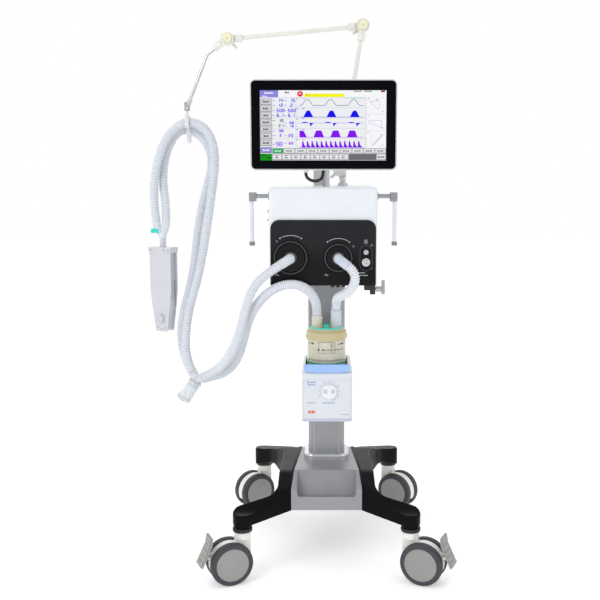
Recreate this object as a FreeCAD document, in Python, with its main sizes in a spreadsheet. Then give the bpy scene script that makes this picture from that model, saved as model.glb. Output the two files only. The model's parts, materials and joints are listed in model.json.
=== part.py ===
import FreeCAD, Part
import math
import os
import re
import Sketcher
from FreeCAD import Placement, Rotation, Vector

# Mechanical ventilator on a wheeled trolley, with its monitor, heated humidifier, breathing hoses,
# water traps, test lung and hose support arm. Millimetres. +Z is up, +X is to the right of someone
# who faces the screen, and -Y points at them. The origin lies on the floor under the column.

# ---------------------------------------------------------------- driving dimensions
SIZES = {
    # trolley base
    "base_under": 146, "cover_under": 168, "base_top": 258, "leg_end_top": 186, "leg_shoulder_top": 226,
    "cover_front": 213, "cover_back": 250, "cover_half_front": 96, "cover_half_back": 72,
    "front_stem_out": 223, "front_stem_fore": 276, "rear_stem_out": 201, "rear_stem_aft": 281,
    "leg_round": 27, "waist_half": 134,
    "tray_half": 80, "tray_floor": 197, "tray_lip": 205, "tray_back": 140, "tray_foot": 172,
    "frame_plate": 12, "frame_half": 66, "socket_wide": 76, "socket_deep": 58, "socket_top": 300,
    # casters
    "wheel_round": 57.5, "tyre_wide": 21, "fender_wide": 21, "fender_round": 54, "caster_trail": 38,
    "hub_round": 44, "axle_round": 7, "stem_round": 6, "bearing_round": 24, "bearing_base": 137,
    "bearing_tall": 30,
    "head_base": 118, "running_gap": 0.4, "pedal_wide": 46,
    "pedal_pin_out": 58.5, "pedal_pin_up": 22,
    # column
    "column_wide": 103, "column_deep": 86, "column_corner": 17, "column_wall": 5,
    "column_top": 776, "collar_wide": 129, "collar_deep": 110, "collar_tall": 17,
    # ventilator casing
    "casing_wide": 290, "casing_deep": 260, "casing_base": 776, "casing_tall": 263,
    "casing_centre": -9, "casing_front": -150, "casing_wall": 4,
    "panel_wide": 283, "panel_tall": 176, "panel_thick": 6, "panel_corner": 24,
    "port_height": 852, "exp_port_side": -96, "exp_ring_round": 45, "insp_port_side": 31.5,
    "insp_ring_round": 38, "ring_wide": 5.5, "ring_deep": 12,
    "recess_side": 105.5, "recess_wide": 31, "recess_tall": 67, "recess_height": 850.5, "recess_deep": 4,
    "rail_height": 1014, "rail_round": 6, "rail_reach": 194, "rail_depth": -100,
    "post_round": 5.5, "post_foot": 884, "knob_height": 764, "knob_depth": -130,
    # monitor
    "monitor_wide": 384, "monitor_tall": 234, "monitor_deep": 37, "monitor_corner": 14,
    "monitor_side": -8, "monitor_height": 1200, "monitor_front": -170, "glass_thick": 5,
    "glass_inset": 3.6, "tilt_depth": -98, "mast_side": -1.5, "mast_depth": -60, "mast_round": 10,
    "mast_top": 1128, "neck_round": 19,
    # heated humidifier and its water chamber
    "heater_wide": 137, "heater_side": 1.5, "heater_base": 408, "heater_top": 543,
    "heater_front": -190, "heater_back": -58, "shoulder_top": 569, "shoulder_wide": 131,
    "chamber_depth": -120, "chamber_round": 53, "chamber_wall": 3, "chamber_base": 557,
    "chamber_rim_base": 627, "chamber_rim_top": 648, "chamber_rim_round": 55, "chamber_top": 657,
    "chamber_port_side": 26, "chamber_port_round": 11, "dial_round": 22, "dial_height": 493,
    "dial_side": 7, "dial_deep": 7,
    # support arm
    "arm_side": 46, "arm_depth": 30, "arm_root_side": 37.5, "arm_root_height": 1084,
    "elbow_side": 101, "elbow_height": 1481, "wrist_side": -276, "wrist_height": 1445,
    "knuckle_round": 18.5, "knuckle_thick": 13.6, "sleeve_round": 11.5, "sleeve_long": 42,
    "arm_tube_round": 6.4, "rod_round": 4.8, "hook_side": -391, "hook_height": 1256,
    # breathing circuit
    "hose_round": 13, "cuff_round": 14.5, "cable_round": 4.2,
    "lung_side": -468, "lung_depth": 21, "lung_top": 866, "lung_base": 623, "lung_wide": 72,
    "lung_gap": 26, "lung_plate": 4, "trap_cup_round": 18, "trap_cup_long": 62,
}

doc = FreeCAD.newDocument("ventilator")
sheet = doc.addObject("Spreadsheet::Sheet", "Sizes")
for row, (alias, number) in enumerate(SIZES.items(), 1):
    sheet.set("A%d" % row, alias)
    sheet.set("B%d" % row, str(number))
    sheet.setAlias("B%d" % row, alias)
doc.recompute()

NODES = []
UP = Vector(0, 0, 1)
TO_FRONT = Vector(0, -1, 0)
TO_RIGHT = Vector(1, 0, 0)


# ---------------------------------------------------------------- helpers
def size(alias):
    """The number that the sheet holds."""
    return float(sheet.get(alias))


def linked(formula):
    """The formula with each size's name pointed at its cell of the sheet."""
    words = r"[a-z][a-z_]*[a-z]"
    return re.sub(words, lambda m: "Sizes." + m.group(0) if m.group(0) in SIZES else m.group(0), str(formula))


def bind(thing, **formulas):
    """Ties the object's properties to the sheet."""
    for name, formula in formulas.items():
        thing.setExpression(name, linked(formula))
    return thing


def put(thing, at, turn=None):
    """Places the object at three formulas, turned by the given rotation."""
    thing.Placement = Placement(Vector(), turn or Rotation())
    for axis, formula in zip("xyz", at):
        thing.setExpression("Placement.Base." + axis, linked(formula))
    return thing


def facing(direction):
    """The rotation that turns +Z to the direction."""
    return Rotation(UP, direction)


def box(wide, deep, tall, at, turn=None):
    """A block from its lower left front corner."""
    block = doc.addObject("Part::Box", "Block")
    bind(block, Length=wide, Width=deep, Height=tall)
    return put(block, at, turn)


def rod(radius, length, at, direction=UP):
    """A cylinder from the centre of one end."""
    cylinder = doc.addObject("Part::Cylinder", "Rod")
    bind(cylinder, Radius=radius, Height=length)
    return put(cylinder, at, facing(direction))


def cone(radius, end_radius, length, at, direction=UP):
    """A cone from the centre of one end."""
    taper = doc.addObject("Part::Cone", "Taper")
    bind(taper, Radius1=radius, Radius2=end_radius, Height=length)
    return put(taper, at, facing(direction))


def ball(radius, at):
    """A sphere about its centre."""
    sphere = doc.addObject("Part::Sphere", "Ball")
    bind(sphere, Radius=radius)
    return put(sphere, at)


def fuse(*pieces):
    """One solid of several that touch or overlap."""
    joined = doc.addObject("Part::MultiFuse", "Joined")
    joined.Shapes = list(pieces)
    joined.Refine = True
    return joined


def cut(base, *tools):
    """The base without the tools."""
    result = doc.addObject("Part::Cut", "Trimmed")
    result.Base = base
    result.Tool = tools[0] if len(tools) == 1 else fuse(*tools)
    return result


def common(first, second):
    """What two solids share."""
    shared = doc.addObject("Part::Common", "Shared")
    shared.Base = first
    shared.Tool = second
    return shared


def group(*pieces):
    """Several solids that stay apart in one sub-part."""
    together = doc.addObject("Part::Compound", "Together")
    together.Links = list(pieces)
    return together


def rounded(base, radius, chosen):
    """The base with a radius on each edge for which chosen(edge) is true."""
    doc.recompute()
    edges = [n for n, edge in enumerate(base.Shape.Edges, 1) if chosen(edge)]
    softened = doc.addObject("Part::Fillet", "Softened")
    softened.Base = base
    softened.Edges = [(n, radius, radius) for n in edges]
    doc.recompute()
    if softened.Shape.isNull() or not softened.Shape.isValid():
        raise ValueError("a radius of %s mm doesn't fit" % radius)
    return softened


def node(name, thing):
    """Names a finished sub-part."""
    thing.Label = name
    NODES.append(thing)
    return thing


def outline_sketch(body, plane, corners):
    """A closed sketch on the body's own plane through corners (u, v, radius)."""
    sketch = body.newObject("Sketcher::SketchObject", "Outline")
    origin_plane = [f for f in body.Origin.OriginFeatures if f.Role == plane][0]
    sketch.AttachmentSupport = [(origin_plane, "")]
    sketch.MapMode = "FlatFace"
    count = len(corners)
    ends = []
    for n, (u, v, radius) in enumerate(corners):
        here = Vector(u, v, 0)
        before = (Vector(*corners[n - 1][:2], 0) - here).normalize()
        after = (Vector(*corners[(n + 1) % count][:2], 0) - here).normalize()
        half = before.getAngle(after) / 2
        reach = radius / math.tan(half) if radius else 0
        ends.append((here + before * reach, here, here + after * reach, before, after, half, radius))
    for n, (start, here, end, before, after, half, radius) in enumerate(ends):
        if radius:
            middle = here + (before + after).normalize() * (radius / math.sin(half) - radius)
            sketch.addGeometry(Part.Arc(start, middle, end))
        following = ends[(n + 1) % count][0]
        if (following - end).Length > 0.001:
            sketch.addGeometry(Part.LineSegment(end, following))
    return sketch


def plate(plane, corners, thick, at, turn=None):
    """A plate of the outlined shape. XY plates grow up, XZ plates to the front, YZ plates to the right."""
    body = doc.addObject("PartDesign::Body", "Plate")
    sketch = outline_sketch(body, plane + "_Plane", corners)
    pad = body.newObject("PartDesign::Pad", "Pad")
    pad.Profile = sketch
    bind(pad, Length=thick)
    sketch.Visibility = False
    return put(body, at, turn)


def rounded_block(plane, wide, tall, corner, thick, at, turn=None):
    """A plate with four equal round corners, centred on its place, whose sketch follows the sheet."""
    body = doc.addObject("PartDesign::Body", "Block")
    half_wide, half_tall, radius = 50, 40, 5
    corners = [
        (half_wide, half_tall, radius), (-half_wide, half_tall, radius),
        (-half_wide, -half_tall, radius), (half_wide, -half_tall, radius),
    ]
    sketch = outline_sketch(body, plane + "_Plane", corners)
    rule = Sketcher.Constraint
    arcs, lines = (0, 2, 4, 6), (1, 3, 5, 7)
    for n in range(8):
        nearest = min(
            ((a, b) for a in (1, 2) for b in (1, 2)),
            key=lambda ab: (sketch.getPoint(n, ab[0]) - sketch.getPoint((n + 1) % 8, ab[1])).Length,
        )
        sketch.addConstraint(rule("Tangent", n, nearest[0], (n + 1) % 8, nearest[1]))
    for line, way in zip(lines, ("Horizontal", "Vertical", "Horizontal", "Vertical")):
        sketch.addConstraint(rule(way, line))
    for arc in arcs[1:]:
        sketch.addConstraint(rule("Equal", arcs[0], arc))
    sketch.addConstraint(rule("Symmetric", 0, 3, 4, 3, -1, 1))
    names = {
        "corner": rule("Radius", 0, radius),
        "across": rule("DistanceX", 4, 3, 0, 3, 2 * (half_wide - radius)),
        "upright": rule("DistanceY", 4, 3, 0, 3, 2 * (half_tall - radius)),
    }
    for name, made in names.items():
        index = sketch.addConstraint(made)
        sketch.renameConstraint(index, name)
    sketch.setExpression("Constraints.corner", linked(corner))
    sketch.setExpression("Constraints.across", linked("(%s) - 2 * (%s)" % (wide, corner)))
    sketch.setExpression("Constraints.upright", linked("(%s) - 2 * (%s)" % (tall, corner)))
    pad = body.newObject("PartDesign::Pad", "Pad")
    pad.Profile = sketch
    bind(pad, Length=thick)
    sketch.Visibility = False
    return put(body, at, turn)


def pipe(name, route, radius):
    """A hose or cable along its route: straight runs joined by the largest tangent arcs that fit."""
    points = [Vector(*point) for point in route]
    pieces, length, start = [], 0.0, points[0]
    for before, here, after in zip(points, points[1:], points[2:]):
        back, ahead = (before - here).normalize(), (after - here).normalize()
        shorter = min((before - here).Length, (after - here).Length)
        half_turn = (math.pi - back.getAngle(ahead)) / 2
        bend = 0.45 * shorter / math.tan(half_turn)
        reach = bend * math.tan(half_turn)
        into, out = here + back * reach, here + ahead * reach
        middle = here + (back + ahead).normalize() * (bend / math.cos(half_turn) - bend)
        pieces += [Part.LineSegment(start, into).toShape(), Part.Arc(into, middle, out).toShape()]
        length += (into - start).Length + bend * 2 * half_turn
        start = out
        print(name, "bends to a radius of", round(bend), "mm")
    pieces.append(Part.LineSegment(start, points[-1]).toShape())
    length += (points[-1] - start).Length
    spine = Part.Wire(pieces)
    ring = Part.Wire(Part.makeCircle(radius, points[0], points[1] - points[0]))
    tube = doc.addObject("Part::Feature", "Pipe")
    tube.Shape = spine.makePipeShell([ring], True, True)
    expected = math.pi * radius**2 * length
    if abs(tube.Shape.Volume / expected - 1) > 0.01:
        raise ValueError("%s holds %.0f mm3, not %.0f" % (name, tube.Shape.Volume, expected))
    print(name, "is", round(length), "mm long")
    return node(name, tube)


def vertical(edge):
    """True for an edge that stands upright."""
    ends = [v.Point for v in edge.Vertexes]
    return len(ends) == 2 and abs(ends[0].x - ends[1].x) + abs(ends[0].y - ends[1].y) < 0.01


# ---------------------------------------------------------------- trolley base
BASE_PROFILE = [
    (-345, size("base_under") + 5, 0), (-345, size("leg_end_top") - 2, 0),
    (-280, size("leg_end_top"), 60), (-size("cover_front"), size("leg_shoulder_top"), 90),
    (-size("tray_back"), size("base_top") - 3, 60), (84, size("base_top") - 3, 120),
    (240, size("leg_end_top") + 14, 90), (330, size("leg_end_top") + 3, 0), (330, size("base_under"), 0),
    (254, size("base_under"), 20), (204, size("cover_under"), 30),
    (-size("cover_front") + 6, size("cover_under"), 20),
]


def leg_cover(side):
    """The black moulding of one side, a front and a rear leg in one piece, with its caster sockets."""
    fore, aft = size("front_stem_fore"), size("rear_stem_aft")
    out_front, out_rear = size("front_stem_out"), size("rear_stem_out")
    waist, tip = size("waist_half"), size("leg_round")
    corners = [
        (size("cover_half_front"), -size("cover_front"), 0),
        (out_front - 1, -fore - 37, tip - 1), (out_front + 49, -fore + 9, tip - 1),
        (waist, -219, 45), (waist - 8, 60, 300), (waist + 34, 204, 70), (out_rear + 28, aft - 29, tip - 2),
        (out_rear + 28, aft + 27, tip - 2), (104, aft + 2, 40),
        (size("cover_half_back"), size("cover_back"), 0), (size("cover_half_back"), 70, 0),
    ]
    plan = plate("XY", [(side * u, v, r) for u, v, r in corners], 200, (0, 0, 100))
    profile = plate("YZ", BASE_PROFILE, 300, (0 if side > 0 else -300, 0, 0))
    cover = rounded(
        common(plan, profile), 5,
        lambda e: e.BoundBox.ZMin > size("leg_end_top") - 6 and e.BoundBox.XLength + e.BoundBox.YLength > 6
        and abs(e.valueAt(e.FirstParameter).x) > size("cover_half_front") + 2
        and abs(e.valueAt(e.LastParameter).x) > size("cover_half_front") + 2,
    )
    places = [(side * out_front, -fore), (side * out_rear, aft)]
    bearings = [rod("bearing_round", "bearing_tall", (x, y, "bearing_base")) for x, y in places]
    sockets = [rod("stem_round + 0.3", 32, (x, y, "bearing_base - 1")) for x, y in places]
    return cut(fuse(cover, *bearings), *sockets)


def base():
    """The frame with its column socket, the silver cover with the tray and the two leg mouldings."""
    node("leg_cover_left", leg_cover(-1))
    node("leg_cover_right", leg_cover(1))
    front, back = size("cover_front"), size("cover_back")
    half_front, half_back = size("cover_half_front"), size("cover_half_back")
    plan = plate("XY", [
        (-half_front, -front, 0), (half_front, -front, 0), (half_back, 70, 0),
        (half_back, back, 0), (-half_back, back, 0), (-half_back, 70, 0),
    ], 200, (0, 0, 100))
    top = size("base_top")
    profile = plate("YZ", [
        (-front, size("cover_under"), 0), (-front, size("leg_shoulder_top") + 3, 6),
        (-size("tray_back"), top, 30),
        (76, top, 60), (back, 200, 0), (back, size("cover_under"), 0),
    ], 220, (-110, 0, 0))
    tray = plate("YZ", [
        (-size("tray_back"), top + 10, 0), (-size("tray_back"), top - 3, 4),
        (-size("tray_foot"), size("tray_floor"), 16), (-front + 8, size("tray_floor"), 2),
        (-front + 7, size("tray_lip"), 2), (-front - 10, size("tray_lip"), 0), (-front - 10, top + 10, 0),
    ], "2 * tray_half", ("-tray_half", 0, 0))
    half_tray = size("tray_half")
    mouth = plate("XZ", [
        (-half_tray, size("tray_floor"), 20), (half_tray, size("tray_floor"), 20),
        (half_tray, top + 12, 0), (-half_tray, top + 12, 0),
    ], 130, (0, -110, 0))
    cavity = box("2 * frame_half + 2", 236, 62, ("-frame_half - 1", -121, "cover_under"))
    socket_hole = box("socket_wide", "socket_deep", 60,
                      ("-socket_wide / 2", "-socket_deep / 2", "base_top - 40"))
    crown = rounded(common(plan, profile), 4, lambda e: e.BoundBox.ZMax < top - 4
                    and e.BoundBox.ZMin > size("cover_under") + 20 and e.BoundBox.XLength > 120)
    node("base_center_cover", cut(crown, common(tray, mouth), cavity, socket_hole))
    foot = box("2 * frame_half", 234, "frame_plate", ("-frame_half", -120, "cover_under"))
    post = box("socket_wide", "socket_deep", "socket_top - cover_under - frame_plate",
               ("-socket_wide / 2", "-socket_deep / 2", "cover_under + frame_plate"))
    ribs = [box(10, 214, 30, (x, -110, "cover_under + frame_plate")) for x in (-55, 45)]
    node("base_frame", fuse(foot, post, *ribs))


# ---------------------------------------------------------------- casters
def caster(name, x, y, trail_angle, with_pedal):
    """A twin-wheel swivel caster whose wheels trail from the stem towards the given heading."""
    away = Vector(math.cos(math.radians(trail_angle)), math.sin(math.radians(trail_angle)), 0)
    across = Vector(-away.y, away.x, 0)
    turn = Rotation(UP, trail_angle)
    wheel_round, trail = size("wheel_round"), size("caster_trail")
    hub = Vector(x, y, wheel_round) + away * trail

    def local(u, v, w):
        """A place u along the trail, v across it and w above the hub."""
        return tuple(hub + away * u + across * v + UP * w)

    fender = rod("fender_round", "fender_wide", local(0, -size("fender_wide") / 2, 0), across)
    floor_gap = box(200, 60, 60, local(-100, -30, -size("fender_round") - 26), turn)
    neck = box(40, "fender_wide", 60, local(-trail - 19, -size("fender_wide") / 2, 4), turn)
    head = rod(22, "bearing_base - running_gap - head_base", (x, y, "head_base"))
    stem = rod("stem_round", 48, (x, y, "head_base"))
    bore = rod("axle_round + 0.3", 60, local(0, -30, 0), across)
    pieces = [fender, neck, head, stem]
    pin_u, pin_w = size("pedal_pin_out"), size("pedal_pin_up")
    if with_pedal:
        lug = box(30, 8, 16, local(pin_u - 26, -4, pin_w - 8), turn)
        pieces += [lug, rod(4, 30, local(pin_u, -15, pin_w), across)]
    node("caster_%s_housing" % name, cut(fuse(*pieces), floor_gap, bore))

    wheels = []
    for side in (-1, 1):
        inner = side * (size("fender_wide") / 2 + 1)
        tyre = rod("wheel_round", "tyre_wide", local(0, inner, 0), across * side)
        tyre = rounded(tyre, 6, lambda e: abs(e.Length - 2 * math.pi * wheel_round) < 1)
        dish = rod("hub_round", 2, local(0, inner + side * size("tyre_wide"), 0), across * -side)
        wheels.append(cut(tyre, dish))
    axle = rod("axle_round", "fender_wide + 8", local(0, -size("fender_wide") / 2 - 4, 0), across)
    node("caster_%s_wheels" % name, fuse(*wheels, axle))

    if with_pedal:
        profile = [(49, 78, 1), (54, 78, 1), (57, 56, 10), (83, 2, 1), (78, 0, 1), (52, 55, 10)]
        slab = plate("XZ", profile, "pedal_wide", local(0, size("pedal_wide") / 2, 0), turn)
        cheeks = [box(15, 6.5, 14, local(pin_u - 4, v, pin_w - 7), turn) for v in (-11, 4.5)]
        pin_hole = rod(4.3, 60, local(pin_u, -30, pin_w), across)
        side = {"fl": "left", "fr": "right"}[name]
        node("brake_pedal_" + side, cut(fuse(slab, *cheeks), pin_hole))


def casters():
    """Braked casters at the front, plain ones at the rear."""
    out_front, fore = size("front_stem_out"), size("front_stem_fore")
    out_rear, aft = size("rear_stem_out"), size("rear_stem_aft")
    caster("fl", -out_front, -fore, 203, True)
    caster("fr", out_front, -fore, -23, True)
    caster("rl", -out_rear, aft, 215, False)
    caster("rr", out_rear, aft, -35, False)


# ---------------------------------------------------------------- column and humidifier
def column():
    """The extruded column with its foot collar and the head plate that carries the casing."""
    outer = rounded_block("XY", "column_wide", "column_deep", "column_corner",
                          "column_top - 12 - base_top", (0, 0, "base_top"))
    inner = rounded_block("XY", "column_wide - 2 * column_wall", "column_deep - 2 * column_wall",
                          "column_corner - column_wall", "column_top", (0, 0, "base_top - 10"))
    grooves = [box(6, 5, 600, (x, "-column_deep / 2 - 1", "base_top - 5")) for x in (-39, 33)]
    head = box("column_wide + 57", "column_deep + 34", 12,
               ("-column_wide / 2 - 28.5", "-column_deep / 2 - 17", "column_top - 12"))
    node("column", fuse(cut(outer, inner, *grooves), head))
    collar = rounded_block("XY", "collar_wide", "collar_deep", 26, "collar_tall", (0, 0, "base_top"))
    collar = rounded(collar, 6, lambda e: e.BoundBox.ZMin > size("base_top") + 10)
    hole = rounded_block("XY", "column_wide", "column_deep", "column_corner", 40, (0, 0, "base_top - 5"))
    node("column_foot_collar", cut(collar, hole))


def humidifier():
    """The heater base with its dial and spring guard, and the clear water chamber on its hot plate."""
    left = "heater_side - heater_wide / 2"
    deep = "heater_back - heater_front"
    block = box("heater_wide", deep, "heater_top - heater_base", (left, "heater_front", "heater_base"))
    block = rounded(block, 6, lambda e: vertical(e) or e.BoundBox.ZMax < size("heater_base") + 1)
    fascia = box("heater_wide - 8", 1.2, "heater_top - heater_base - 26",
                 (left + " + 4", "heater_front - 0.2", "heater_base + 8"))
    shoulder = box("shoulder_wide", deep + " - 4", "shoulder_top - heater_top",
                   ("heater_side - shoulder_wide / 2", "heater_front + 4", "heater_top"))
    shoulder = rounded(shoulder, 9, lambda e: e.BoundBox.ZMin > size("shoulder_top") - 1 or vertical(e))
    well = rod("chamber_rim_round + 2", 60, (0, "chamber_depth", "chamber_base - 7"))
    mouth = box("2 * chamber_rim_round + 4", 90, 60,
                ("-chamber_rim_round - 2", "chamber_depth - 90", "chamber_base - 7"))
    shaft_hole = rod(5.3, 20, ("dial_side", "heater_front + 12", "dial_height"), TO_FRONT)
    bracket = box(64, "-43 - heater_back", 96, (-32, "heater_back", "heater_base + 20"))
    node("humidifier_body", cut(fuse(block, shoulder, bracket), fascia, well, mouth, shaft_hole))

    dial_face = ("dial_side", "heater_front + 0.6", "dial_height")
    skirt = cone("dial_round", "dial_round - 1.5", "dial_deep", dial_face, TO_FRONT)
    shaft = rod(5, 10, ("dial_side", "heater_front + 10", "dial_height"), TO_FRONT)
    dimples = [ball(7, ("dial_side + %s" % x, "heater_front - 11", "dial_height")) for x in (-9, 9)]
    node("humidifier_dial", cut(fuse(skirt, shaft), *dimples))

    band = plate("XZ", [
        (-61, 550, 2), (-61, 567.5, 2), (63, 567.5, 2), (63, 550, 2), (36, 545, 60), (-34, 545, 60),
    ], 4.4, (0, "heater_front - 0.5", 0))
    node("humidifier_guard", band)

    node("heater_plate", rod(48, 5, (0, "chamber_depth", "chamber_base - 7")))
    depth = "chamber_depth"
    foot = rod("chamber_rim_round + 1", 7, (0, depth, "chamber_base - 2"))
    wall = rod("chamber_round", "chamber_rim_base - chamber_base - 5", (0, depth, "chamber_base + 5"))
    rim = rod("chamber_rim_round", "chamber_rim_top - chamber_rim_base", (0, depth, "chamber_rim_base"))
    lid = cone("chamber_rim_round - 4", "chamber_rim_round - 12", "chamber_top - chamber_rim_top",
               (0, depth, "chamber_rim_top"))
    room = rod("chamber_round - chamber_wall", "chamber_rim_top - chamber_base - 4",
               (0, depth, "chamber_base + 2"))
    sides = ("-chamber_port_side", "chamber_port_side")
    ports = [rod("chamber_port_round", 30, (x, depth, "chamber_top - 6")) for x in sides]
    bores = [rod("chamber_port_round - 2", 60, (x, depth, "chamber_top - 20")) for x in sides]
    lugs = [box(8, 14, 10, (x, "chamber_depth - 7", "chamber_rim_base + 2")) for x in (
        "-chamber_rim_round - 2", "chamber_rim_round - 6")]
    shell = cut(fuse(foot, wall, rim, lid, *ports, *lugs), room, *bores)
    seal_at = (0, depth, "chamber_base + 5")
    seal = cut(rod("chamber_round + 2.5", 4, seal_at), rod("chamber_round", 6, seal_at))
    node("chamber_dome", shell)
    cap = rod(6.5, 9, (0, "chamber_depth - 16", "chamber_top"))
    node("chamber_seals", group(seal, cap))


# ---------------------------------------------------------------- ventilator casing
def casing():
    """The white casing, its black front panel and rear panel, and what is mounted on them."""
    left = "casing_centre - casing_wide / 2"
    outer = box("casing_wide", "casing_deep", "casing_tall", (left, "casing_front", "casing_base"))
    outer = rounded(outer, 10, lambda e: vertical(e) or e.BoundBox.ZMin > size("casing_base") + 10)
    inner = box("casing_wide - 2 * casing_wall", "casing_deep", "casing_tall - 2 * casing_wall",
                (left + " + casing_wall", "casing_front + casing_wall", "casing_base + casing_wall"))
    node("main_casing", cut(outer, inner))

    back = "casing_front + casing_deep"
    rear = box("casing_wide - 2 * casing_wall", 4, "casing_tall - 2 * casing_wall",
               (left + " + casing_wall", back + " - 5", "casing_base + casing_wall"))
    slots = [box(90, 12, 4, ("casing_centre - 115", back + " - 9", "casing_base + %d" % (60 + 11 * n)))
             for n in range(10)]
    switch_hole = box(26, 12, 18, ("casing_centre + 60", back + " - 9", "casing_base + 42"))
    node("rear_panel", cut(rear, *slots, switch_hole))
    rocker = box(25, 9, 17, ("casing_centre + 60.5", back + " - 7", "casing_base + 42.5"))
    rear_face = size("casing_front") + size("casing_deep")
    node("power_switch", rounded(rocker, 1.5, lambda e: e.BoundBox.YMin > rear_face + 1))
    mains = box(30, 14, 24, ("casing_centre + 95", back + " - 1", "casing_base + 38"))
    mains_hole = box(22, 12, 16, ("casing_centre + 99", back + " + 3", "casing_base + 42"))
    oxygen = rod(8, 22, ("casing_centre + 40", back + " - 1", "casing_base + 190"), Vector(0, 1, 0))
    oxygen_nut = rod(12, 8, ("casing_centre + 40", back + " - 1", "casing_base + 190"), Vector(0, 1, 0))
    side_face = size("casing_centre") - size("casing_wide") / 2
    side_ports = [
        fuse(rod(5, 4, (side_face - 4, -80, z), TO_RIGHT), rod(3, 4, (side_face - 8, -80, z), TO_RIGHT))
        for z in (972, 948)
    ]
    node("gas_inlets", group(cut(mains, mains_hole), fuse(oxygen, oxygen_nut), *side_ports))

    front_panel()
    inside()
    rails()


def front_panel():
    """The black panel with the two breathing ports, their lock rings and the connector recess."""
    half, tall, corner = size("panel_wide") / 2, size("panel_tall"), size("panel_corner")
    panel = plate("XZ", [(-half, 0, 3), (half, 0, 3), (half, tall, corner), (-half, tall, corner)],
                  "panel_thick", ("casing_centre", "casing_front", "casing_base"))
    panel = rounded(panel, 2.5, lambda e: e.BoundBox.YMax < size("casing_front") - size("panel_thick") + 0.1)
    wide, tall_slot = size("recess_wide") / 2, size("recess_tall") / 2
    slot = plate("XZ", [(-wide, -tall_slot, wide - 0.1), (wide, -tall_slot, wide - 0.1),
                        (wide, tall_slot, wide - 0.1), (-wide, tall_slot, wide - 0.1)],
                 10, ("recess_side", "casing_front - panel_thick + recess_deep", "recess_height"))
    node("front_panel", cut(panel, slot))
    face = "casing_front - panel_thick"
    height = "port_height"
    discs = []
    for name in ("exp", "insp"):
        side, ring = name + "_port_side", name + "_ring_round"
        disc = rod(ring + " - ring_wide - 0.4", "ring_deep - 2", (side, face, height), TO_FRONT)
        disc = rounded(disc, 2, lambda e: e.BoundBox.YMax < size("casing_front") - size("panel_thick") - 8
                       and e.Length > 60)
        boss = rod(17, "ring_deep + 6", (side, face, height), TO_FRONT)
        discs.append(fuse(disc, boss))
        whole = rod(ring, "ring_deep", (side, face + " - 0.3", height), TO_FRONT)
        whole = rounded(whole, 2.5, lambda e: e.BoundBox.YMax < size("casing_front") - size("panel_thick") - 8
                        and e.Length > 60)
        middle = rod(ring + " - ring_wide", 40, (side, face + " + 5", height), TO_FRONT)
        grip = box(7, "ring_deep - 3", 5,
                   (side + " - 3.5", face + " - ring_deep + 2.7", height + " + %s - 1.5" % ring))
        node(name + "_lock_ring", fuse(cut(whole, middle), grip))
    node("breathing_ports", group(*discs))
    nozzles = []
    for z, flange, spigot, bore in ((866, 6.5, 4, 2.4), (839, 11, 6.8, 4)):
        at = ("recess_side", "casing_front - panel_thick + recess_deep", z)
        tube = fuse(rod(flange, 6, at, TO_FRONT), rod(spigot, 13, at, TO_FRONT))
        mouth = ("recess_side", "casing_front - panel_thick - 0.5", z)
        nozzles.append(cut(tube, rod(bore, 15, mouth, TO_FRONT)))
    node("gas_nozzles", group(*nozzles))


def inside():
    """The blower with its impeller, the battery and the control board inside the casing."""
    x, y, z = -60, 0, 900
    volute = fuse(rod(52, 40, (x, y, z)), box(26, 90, 30, (x - 52, y - 90, z + 5)))
    hollow = rod(47, 32, (x, y, z + 4))
    eye = rod(16, 20, (x, y, z + 30))
    duct = box(18, 92, 22, (x - 48, y - 86, z + 9))
    axle_hole = rod(4.3, 20, (x, y, z - 4))
    node("blower_housing", cut(volute, hollow, eye, duct, axle_hole))
    blades = []
    for n in range(12):
        root = Rotation(UP, 30 * n).multVec(Vector(18, 0, 0))
        blades.append(box(26, 2, 22, (x + root.x, y + root.y, z + 8), Rotation(UP, 30 * n + 28)))
    disc = rod(44, 2, (x, y, z + 6.4))
    shaft = rod(4, 16, (x, y, z - 4))
    hub = rod(10, 20, (x, y, z + 8))
    node("blower_impeller", fuse(disc, shaft, hub, *blades))
    battery = box(150, 110, 62, (-40, -30, "casing_base + casing_wall"))
    node("battery_pack", rounded(battery, 5, vertical))
    board = box(150, 3, 150, (-20, 80, 860))
    chips = [box(wide, 6, wide, (across, 74, up))
             for wide, across, up in ((30, 10, 930), (22, 70, 900), (22, 70, 950), (16, 20, 890))]
    node("control_board", fuse(board, *chips))


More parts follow.
